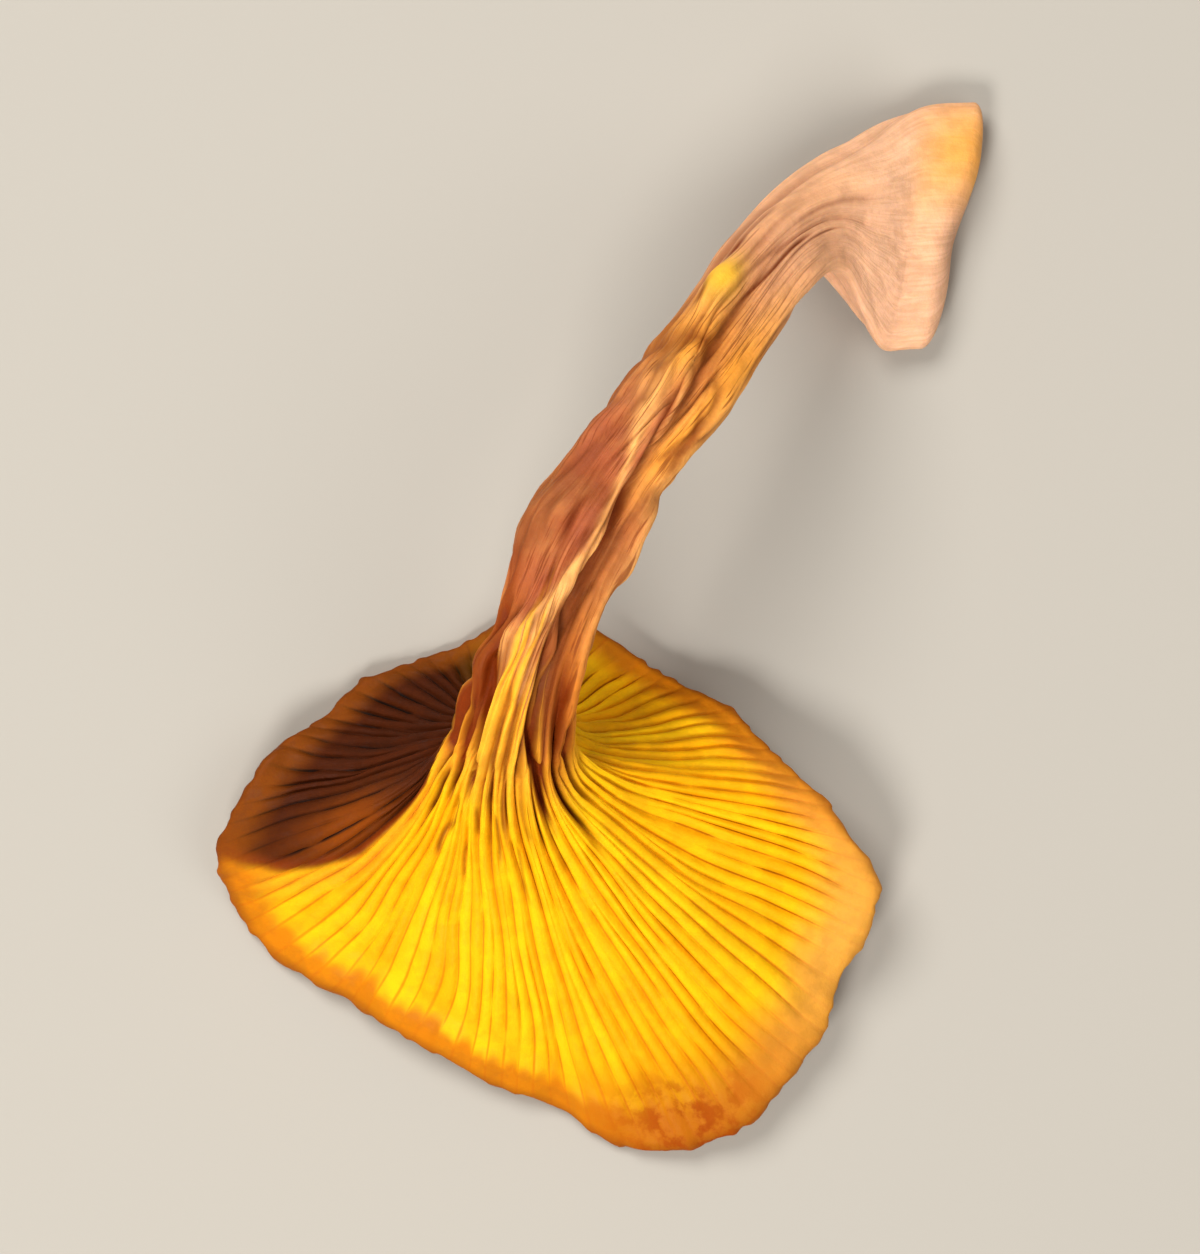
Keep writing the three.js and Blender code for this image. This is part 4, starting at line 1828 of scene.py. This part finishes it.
@dataclass(frozen=True)
class DriedFlesh:
    """What the finishes of both sides share.

    Attributes:
        mark_names: The skin's marks that the colours are read from.
        cloud_sizes: How fine the mottling is, broad and fine.
        fibre_kind: How many fibres go round, how short they are and how far they waver.
        shade: How dark and how light its fine mottling makes it.
        rough: How rough it is, from the least to the most.
        pucker_size: How fine its puckers are.
        bump, bump_depth: How strongly puckers and fibres show, and their depth in metres.
        shine: How much of the plain mirror light it gives back.
        under_skin: How much light goes under the skin.
        under_reach, under_depth: How far red, green and blue go there, as shares of a depth
            in metres.
    """

    mark_names: tuple[str, ...] = ("along",)
    cloud_sizes: Pair = (140.0, 900.0)
    fibre_kind: Triple = (20.0, 14.0, 0.12)
    shade: Pair = (0.92, 1.05)
    rough: Pair = (0.5, 0.72)
    pucker_size: float = 1500.0
    bump: float = 0.6
    bump_depth: float = 0.00012
    shine: float = 0.08
    under_skin: float = 0.15
    under_reach: Triple = (1.0, 0.5, 0.1)
    under_depth: float = 0.0008

    def start(self, name: str, effects: SharedEffects) -> tuple[bpy.types.Material, FleshBench]:
        """Start a material.

        Args:
            name: The material's name.
            effects: The shared node groups.

        Returns:
            The material and its bench.
        """
        material = bpy.data.materials.new(name)
        material.use_nodes = True
        bench = FleshBench(material.node_tree, 4)
        place = bench.add("ShaderNodeTexCoord").outputs["Object"]
        bench.marks = {label: bench.mark(label).outputs["Fac"] for label in self.mark_names}
        grown = bench.mark("grown").outputs["Vector"]
        broad, fine = self.cloud_sizes
        count, length, waver = self.fibre_kind
        bench.broad = bench.group(effects.mottling, Place=place, Size=broad)
        bench.fine = bench.group(effects.mottling, Place=place, Size=fine, Detail=5.0)
        bench.fibres = bench.group(effects.fibres, Grown=grown, Count=count, Length=length,
                                   Waver=waver)
        bench.puckers = bench.group(effects.wrinkles, Place=place, Size=self.pucker_size)
        return material, bench

    def finish(self, bench: FleshBench, tone: Socket, raised: Socket) -> None:
        """Feed the material's own shader.

        Args:
            bench: The material's bench.
            tone: The flesh's colour.
            raised: The height of its puckers and fibres.
        """
        inputs = bench.tree.nodes["Principled BSDF"].inputs
        shade = bench.span(bench.fine, Ramp(0.0, 1.0, *self.shade))
        bench.feed(inputs["Base Color"], bench.blend(1.0, tone, shade, "MULTIPLY"))
        bench.feed(inputs["Roughness"], bench.span(bench.fine, Ramp(0.0, 1.0, *self.rough)))
        feeds = {"Strength": self.bump, "Distance": self.bump_depth, "Height": raised}
        bench.feed(inputs["Normal"], bench.add("ShaderNodeBump", feeds).outputs["Normal"])
        inputs["Specular IOR Level"].default_value = self.shine
        inputs["Subsurface Weight"].default_value = self.under_skin
        inputs["Subsurface Radius"].default_value = self.under_reach
        inputs["Subsurface Scale"].default_value = self.under_depth


@dataclass(frozen=True)
class RidgedFlesh(DriedFlesh):
    """The mushroom's outside: ridged underside of the cap, folded stem and foot.

    Attributes:
        crest, crest_warm, crest_neck: The ridges' crests, the warmer ones, those at the neck.
        valley, valley_deep: Between the ridges, and in the gaps between them at the neck, as painted
            shade.
        painted_shade_crest, painted_shade_valley: Painted shade on crests and valleys behind the fold.
        painted_shade_glow: The crests there where the painted shade is lighter.
        stem_crest: The crests of the stem's folds, lighter as a painted highlight.
        stem_skin: The stem between them.
        stem_valley: The painted shade in the stem's valleys and creases.
        foot_valley: The same towards the foot.
        stem_flank: The stem's dried, reddish flank.
        foot: The pale foot.
        foot_streak: Its faint darker streaks.
        margin: The margin's band.
        margin_pale: The same on the right, where it is paler.
        margin_worn: Its rough, worn stretch.
        margin_dark: The margin's dark colour: painted shade beside the fold's sector, and the darker
            edge.
        stem_layers: Colours over the stem: lit folds, warm band, strands and pinkish part.
        top_layers: Colours over its creases: the foot's rounded end and the painted highlight.
        cap_layers: Colours over the ridges: the strands.
        fibres_raised: How high they stand, as a share of the puckers.
        margin_uneven: How unevenly the margin's band starts.
        margin_soft, margin_crisp: How it comes on round the cap, and how in front.
        margin_behind: How much less of it the painted shade behind the fold has.
        painted_shade_rim: How much of the margin's dark colour that sector has, as painted shade.
        edge_dark, edge_right: How the very edge darkens, and how much less on the right.
        worn_patches: How patchy the worn stretch is.
        warm, warm_cloud: How crests go from plain to warm, and how much clouds count in that.
        neck: How they take the neck's colour.
        crest_height: How high on a ridge its crest's colour starts.
        stem_light: How much folds, as a painted highlight, and fibres and clouds lighten the stem.
        stem_lit: How it goes from skin to crest by that.
        flank_clouds: How clouds thin out the flank's colour.
        fold_sunk: How the stem's sunken folds darken, as painted shade.
        crease_dark: How dark its creases are painted, as shade.
        foot_pale: How the foot pales.
        foot_dark: How much of the dark it keeps.
        streaks, streaks_start: How dark streaks follow the fibres, and where they come on.
        foot_streaks: How faint streaks follow the fibres on the foot.
        foot_share: How much the foot's colour covers.
    """

    crest: str = "#f0b808"
    crest_warm: str = "#eaa604"
    crest_neck: str = "#ffb434"
    # Valleys and gaps are darker than the crests, as painted shade.
    valley: str = "#dc8a00"
    valley_deep: str = "#7a2e06"
    # Painted shade behind the cap's fold, with lighter crests where it glows.
    painted_shade_crest: str = "#421802"
    painted_shade_valley: str = "#120500"
    painted_shade_glow: str = "#7e3a02"
    stem_crest: str = "#f8b469"
    stem_skin: str = "#ba703c"
    stem_valley: str = "#783614"
    foot_valley: str = "#bd7444"
    stem_flank: str = "#a8583a"
    foot: str = "#f0be9c"
    foot_streak: str = "#e2b08c"
    margin: str = "#c46d04"
    margin_pale: str = "#d8983e"
    margin_worn: str = "#963f00"
    margin_dark: str = "#7e3c08"
    stem_layers: tuple[Layer, ...] = (
        # Painted highlight along the stem's raised crest lines.
        Layer("lip", 0.9, "#f8b469"),
        Layer("band", 0.85, "#f2a238"),
        Layer("strand", 0.8, "#dc801e"),
        Layer("blush", 0.7, "#f5b98e"),
    )
    top_layers: tuple[Layer, ...] = (Layer("heel", 0.8, "#eda33a"), Layer("bright", 0.9, "#ffc43a"))
    cap_layers: tuple[Layer, ...] = (Layer("strand", 0.75, "#dc801e"),)
    mark_names: tuple[str, ...] = (
        "along", "gilled", "ridge", "own", "fold", "crease", "gap", "flank", "lip", "behind",
        "glow", "bright", "band", "heel", "blush", "strand", "worn", "front", "right",
    )
    fibres_raised: float = 0.5
    margin_uneven: float = 0.022
    margin_soft: Ramp = Ramp(1.88, 2.0, 0.0, 0.9)
    margin_crisp: Ramp = Ramp(1.945, 1.985, 0.0, 0.9)
    margin_behind: Ramp = Ramp(first=1.0, last=0.6)
    painted_shade_rim: float = 0.8
    edge_dark: Ramp = Ramp(1.975, 2.01, 0.0, 0.55)
    edge_right: Ramp = Ramp(first=1.0, last=0.3)
    worn_patches: Ramp = Ramp(0.1, 0.9, 0.35, 1.0)
    warm_cloud: float = 0.5
    warm: Ramp = Ramp(0.35, 1.15)
    neck: Ramp = Ramp(1.3, 0.95, 0.0, 0.85)
    crest_height: Ramp = Ramp(0.08, 0.6)
    stem_light: Triple = (0.45, 0.55, 0.4)
    stem_lit: Ramp = Ramp(0.35, 0.95)
    flank_clouds: Ramp = Ramp(first=0.95, last=0.5)
    fold_sunk: Ramp = Ramp(-0.1, -0.75, 0.0, 0.9)
    crease_dark: float = 0.8
    foot_pale: Ramp = Ramp(0.12, 0.43, 1.0, 0.0)
    foot_dark: Ramp = Ramp(first=0.9, last=0.25)
    streaks: Ramp = Ramp(0.48, 0.34, 0.0, 0.75)
    streaks_start: Ramp = Ramp(0.25, 0.5)
    foot_streaks: Ramp = Ramp(0.35, 0.65)
    foot_share: float = 0.85

    def material(self, effects: SharedEffects) -> bpy.types.Material:
        """Make the material.

        Args:
            effects: The shared node groups.

        Returns:
            The material.
        """
        material, bench = self.start("ridged_flesh", effects)
        gills = self.gill_colour(bench)
        tone = bench.blend(bench.marks["gilled"], self.stem_colour(bench), gills)
        tone = self.margin_colour(bench, tone)
        fibres = bench.math("MULTIPLY", bench.fibres, self.fibres_raised)
        self.finish(bench, tone, bench.math("ADD", bench.puckers, fibres))
        return material

    def margin_colour(self, bench: FleshBench, tone: Socket) -> Socket:
        """Colour the margin's band over the rest.

        Args:
            bench: The material's bench.
            tone: The colour so far.

        Returns:
            The colour.
        """
        marks = bench.marks
        uneven = bench.math("ADD", bench.broad, bench.math("ADD", marks["own"], marks["ridge"]))
        uneven = bench.math("MULTIPLY", uneven, self.margin_uneven)
        band = bench.math("ADD", marks["along"], uneven)
        soft = bench.span(band, self.margin_soft)
        crisp = bench.span(band, self.margin_crisp)
        pale_rim = bench.blend(marks["right"], colour(self.margin), colour(self.margin_pale))
        # The margin beside the sector behind the fold takes the dark colour as painted shade.
        painted_shade = bench.math("MULTIPLY", marks["behind"], self.painted_shade_rim)
        rim = bench.blend(painted_shade, pale_rim, colour(self.margin_dark))
        less = bench.span(marks["behind"], self.margin_behind)
        reach = bench.math("MULTIPLY", bench.blend(marks["front"], soft, crisp), less)
        tone = bench.blend(reach, tone, rim)
        edge = bench.span(marks["along"], self.edge_dark)
        edge = bench.math("MULTIPLY", edge, bench.span(marks["right"], self.edge_right))
        tone = bench.blend(edge, tone, colour(self.margin_dark))
        worn = bench.math("MULTIPLY", marks["worn"], bench.span(bench.fine, self.worn_patches))
        return bench.blend(worn, tone, colour(self.margin_worn))

    def gill_colour(self, bench: FleshBench) -> Socket:
        """Colour the ridges of the cap.

        Args:
            bench: The material's bench.

        Returns:
            The colour.
        """
        marks = bench.marks
        draws = bench.math("ADD", bench.math("MULTIPLY", bench.broad, self.warm_cloud), marks["own"])
        crest = bench.blend(bench.span(draws, self.warm), colour(self.crest), colour(self.crest_warm))
        crest = bench.blend(bench.span(marks["along"], self.neck), crest, colour(self.crest_neck))
        height = bench.span(marks["ridge"], self.crest_height)
        # Valleys between the ridges are painted darker than the crests, as shade.
        tone = bench.blend(height, colour(self.valley), crest)
        # Painted shade over the sector behind the cap's fold.
        painted_shade_crest = bench.blend(marks["glow"], colour(self.painted_shade_crest), colour(self.painted_shade_glow))
        painted_shade = bench.blend(height, colour(self.painted_shade_valley), painted_shade_crest)
        tone = bench.blend(marks["behind"], tone, painted_shade)
        tone = bench.cover(tone, self.cap_layers)
        # Painted shade in gaps, neck valleys, dark lines, hollows and along the fold.
        return bench.blend(marks["gap"], tone, colour(self.valley_deep))

    def stem_colour(self, bench: FleshBench) -> Socket:
        """Colour the stem and the foot.

        Args:
            bench: The material's bench.

        Returns:
            The colour.
        """
        marks = bench.marks
        # Raised folds are painted lighter, as a highlight; fibres and clouds add the flesh's own tone.
        by_fold, by_fibre, by_cloud = self.stem_light
        lift = bench.math("ADD", bench.math("MULTIPLY", marks["fold"], by_fold),
                          bench.math("MULTIPLY", bench.fibres, by_fibre))
        lift = bench.math("ADD", lift, bench.math("MULTIPLY", bench.broad, by_cloud))
        lit = bench.span(lift, self.stem_lit)
        tone = bench.blend(lit, colour(self.stem_skin), colour(self.stem_crest))
        flank = bench.math("MULTIPLY", marks["flank"], bench.span(bench.broad, self.flank_clouds))
        tone = bench.blend(flank, tone, colour(self.stem_flank))
        tone = bench.cover(tone, self.stem_layers)
        # Sunken folds and creases are painted darker, as shade; the fibre streaks are the flesh's own.
        sunk = bench.span(marks["fold"], self.fold_sunk)
        creased = bench.math("MULTIPLY", marks["crease"], self.crease_dark)
        dark = bench.math("MAXIMUM", sunk, creased)
        pale = bench.span(marks["along"], self.foot_pale)
        dark = bench.math("MULTIPLY", dark, bench.span(pale, self.foot_dark))
        streaks = bench.span(bench.fibres, self.streaks)
        streaks = bench.math("MULTIPLY", streaks, bench.span(marks["along"], self.streaks_start))
        dark = bench.math("MAXIMUM", dark, streaks)
        faint = bench.span(bench.fibres, self.foot_streaks)
        foot = bench.blend(faint, colour(self.foot_streak), colour(self.foot))
        tone = bench.blend(bench.math("MULTIPLY", pale, self.foot_share), tone, foot)
        valley = bench.blend(pale, colour(self.stem_valley), colour(self.foot_valley))
        tone = bench.blend(dark, tone, valley)
        tone = bench.cover(tone, self.top_layers)
        # Painted shade in gaps, neck valleys, dark lines and hollows.
        return bench.blend(marks["gap"], tone, colour(self.valley_deep))


@dataclass(frozen=True)
class CapTopFlesh(DriedFlesh):
    """The smooth upper side of the cap, which lines the funnel.

    Attributes:
        light: The felted skin.
        dark: Its darker clouds.
        margin: The band along the margin.
        lightening: How much clouds and fibres lighten it.
        margin_band: How the margin's band goes off inwards.
    """

    cloud_sizes: Pair = (220.0, 1100.0)
    fibre_kind: Triple = (14.0, 10.0, 0.05)
    shade: Pair = (0.88, 1.06)
    rough: Pair = (0.68, 0.86)
    pucker_size: float = 1300.0
    bump: float = 0.7
    bump_depth: float = 0.00015
    shine: float = 0.5
    under_reach: Triple = (1.0, 0.5, 0.15)
    light: str = "#eda033"
    dark: str = "#c9741c"
    margin: str = "#d98322"
    lightening: Pair = (0.6, 0.4)
    margin_band: Ramp = Ramp(2.12, 2.02, 0.0, 0.8)

    def material(self, effects: SharedEffects) -> bpy.types.Material:
        """Make the material.

        Args:
            effects: The shared node groups.

        Returns:
            The material.
        """
        material, bench = self.start("cap_top_flesh", effects)
        by_cloud, by_fibre = self.lightening
        cloud = bench.math("ADD", bench.math("MULTIPLY", bench.broad, by_cloud),
                           bench.math("MULTIPLY", bench.fibres, by_fibre))
        tone = bench.blend(cloud, colour(self.dark), colour(self.light))
        band = bench.span(bench.marks["along"], self.margin_band)
        tone = bench.blend(band, tone, colour(self.margin))
        self.finish(bench, tone, bench.math("ADD", bench.puckers, bench.fibres))
        return material


@dataclass
class Chanterelle:
    """The mushroom: its skin and its two finishes.

    Attributes:
        skin: The fine skin.
        outside: The finish of the ridged side.
        inside: The finish of the cap's upper side.
    """

    skin: MushroomSkin
    outside: RidgedFlesh = field(default_factory=RidgedFlesh)
    inside: CapTopFlesh = field(default_factory=CapTopFlesh)

    def make(self, effects: SharedEffects) -> bpy.types.Object:
        """Build the mushroom, dress it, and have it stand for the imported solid.

        Args:
            effects: The shared node groups.

        Returns:
            The mushroom's object.
        """
        piece = self.skin.build()
        piece.data.materials.append(self.outside.material(effects))
        piece.data.materials.append(self.inside.material(effects))
        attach(piece, "root")
        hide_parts(NODE)
        return piece


# ---------------- studio


@dataclass(frozen=True)
class Lamp:
    """One soft lamp.

    Attributes:
        name: The lamp's name.
        place: Where it hangs, in metres.
        size: Its width, in metres.
        power: Its power, in watts.
        tint: Its colour.
    """

    name: str
    place: Triple
    size: float
    power: float
    tint: Triple = (1.0, 0.97, 0.92)


@dataclass
class Studio:
    """A pale floor, soft lamps and a camera that looks straight down.

    Attributes:
        lens: The camera's focal length, in millimetres.
        frame_height: How much of the floor the picture's height takes in, in metres.
        aim: The point on the mushroom at the middle of the picture, in metres.
        near: The nearest that the camera sees, in metres.
        floor_size: Half the floor's side, in metres.
        floor_tint: The floor's colour.
        floor_rough: How rough it is.
        sky_tint: The sky's colour.
        sky_strength: How strongly it shines.
        lamps: The lamps.
    """

    lens: float = 180.0
    frame_height: float = 0.058
    aim: Triple = (0.0, 0.0, 0.006)
    near: float = 0.005
    floor_size: float = 1.5
    floor_tint: str = "#aca8a1"
    floor_rough: float = 0.85
    sky_tint: tuple[float, ...] = (1.0, 0.93, 0.84, 1.0)
    sky_strength: float = 0.3
    lamps: tuple[Lamp, ...] = (
        Lamp("key", (-0.12, -0.24, 0.3), 0.14, 1.2),
        Lamp("fill", (0.28, -0.1, 0.36), 0.35, 0.5),
        Lamp("top", (-0.16, 0.22, 0.36), 0.26, 1.8),
    )

    def floor(self) -> bpy.types.Object:
        """Lay a plain pale floor.

        Returns:
            The floor's object.
        """
        mesh = bpy.data.meshes.new("floor")
        half = self.floor_size
        corners = [(-half, -half, 0.0), (half, -half, 0.0), (half, half, 0.0), (-half, half, 0.0)]
        mesh.from_pydata(corners, [], [(0, 1, 2, 3)])
        material = bpy.data.materials.new("pale_floor")
        material.use_nodes = True
        shader = material.node_tree.nodes["Principled BSDF"]
        shader.inputs["Base Color"].default_value = colour(self.floor_tint)
        shader.inputs["Roughness"].default_value = self.floor_rough
        mesh.materials.append(material)
        piece = bpy.data.objects.new("floor", mesh)
        bpy.context.scene.collection.objects.link(piece)
        return piece

    def light(self) -> None:
        """Hang the lamps and set a soft sky."""
        for lamp in self.lamps:
            data = bpy.data.lights.new(lamp.name, "AREA")
            data.shape = "DISK"
            data.size = lamp.size
            data.energy = lamp.power
            data.color = lamp.tint
            piece = bpy.data.objects.new(lamp.name, data)
            piece.location = lamp.place
            aim = Vector(self.aim) - Vector(lamp.place)
            piece.rotation_euler = aim.to_track_quat("-Z", "Y").to_euler()
            bpy.context.scene.collection.objects.link(piece)
        world = bpy.data.worlds.new("studio")
        bpy.context.scene.world = world
        world.use_nodes = True
        sky = world.node_tree.nodes["Background"]
        sky.inputs["Color"].default_value = self.sky_tint
        sky.inputs["Strength"].default_value = self.sky_strength

    def camera(self) -> bpy.types.Object:
        """Hang the camera over the mushroom.

        Returns:
            The camera's object.
        """
        data = bpy.data.cameras.new("camera")
        data.lens = self.lens
        data.clip_start = self.near
        distance = self.frame_height * self.lens / data.sensor_width
        piece = bpy.data.objects.new("camera", data)
        piece.location = Vector(self.aim) + Vector((0.0, 0.0, distance))
        bpy.context.scene.collection.objects.link(piece)
        bpy.context.scene.camera = piece
        return piece

    def make(self) -> None:
        """Set up the whole studio."""
        self.floor()
        self.light()
        self.camera()
        bpy.context.scene.view_settings.view_transform = "Standard"


def main() -> None:
    """Build the mushroom and its studio, and report each piece."""
    logging.basicConfig(level=logging.INFO, format="%(name)s: %(message)s")
    stem = StemForm()
    skin = MushroomSkin(stem, CapForm(stem), RidgePattern(), DriedRelief(), Markings())
    mushroom = Chanterelle(skin).make(SharedEffects())
    triangles = sum(len(face.vertices) - 2 for face in mushroom.data.polygons)
    LOG.info("%s: %d triangles", mushroom.name, triangles)
    Studio().make()
    LOG.info("studio: floor, lamps and camera")


if __name__ == "__main__":
    main()
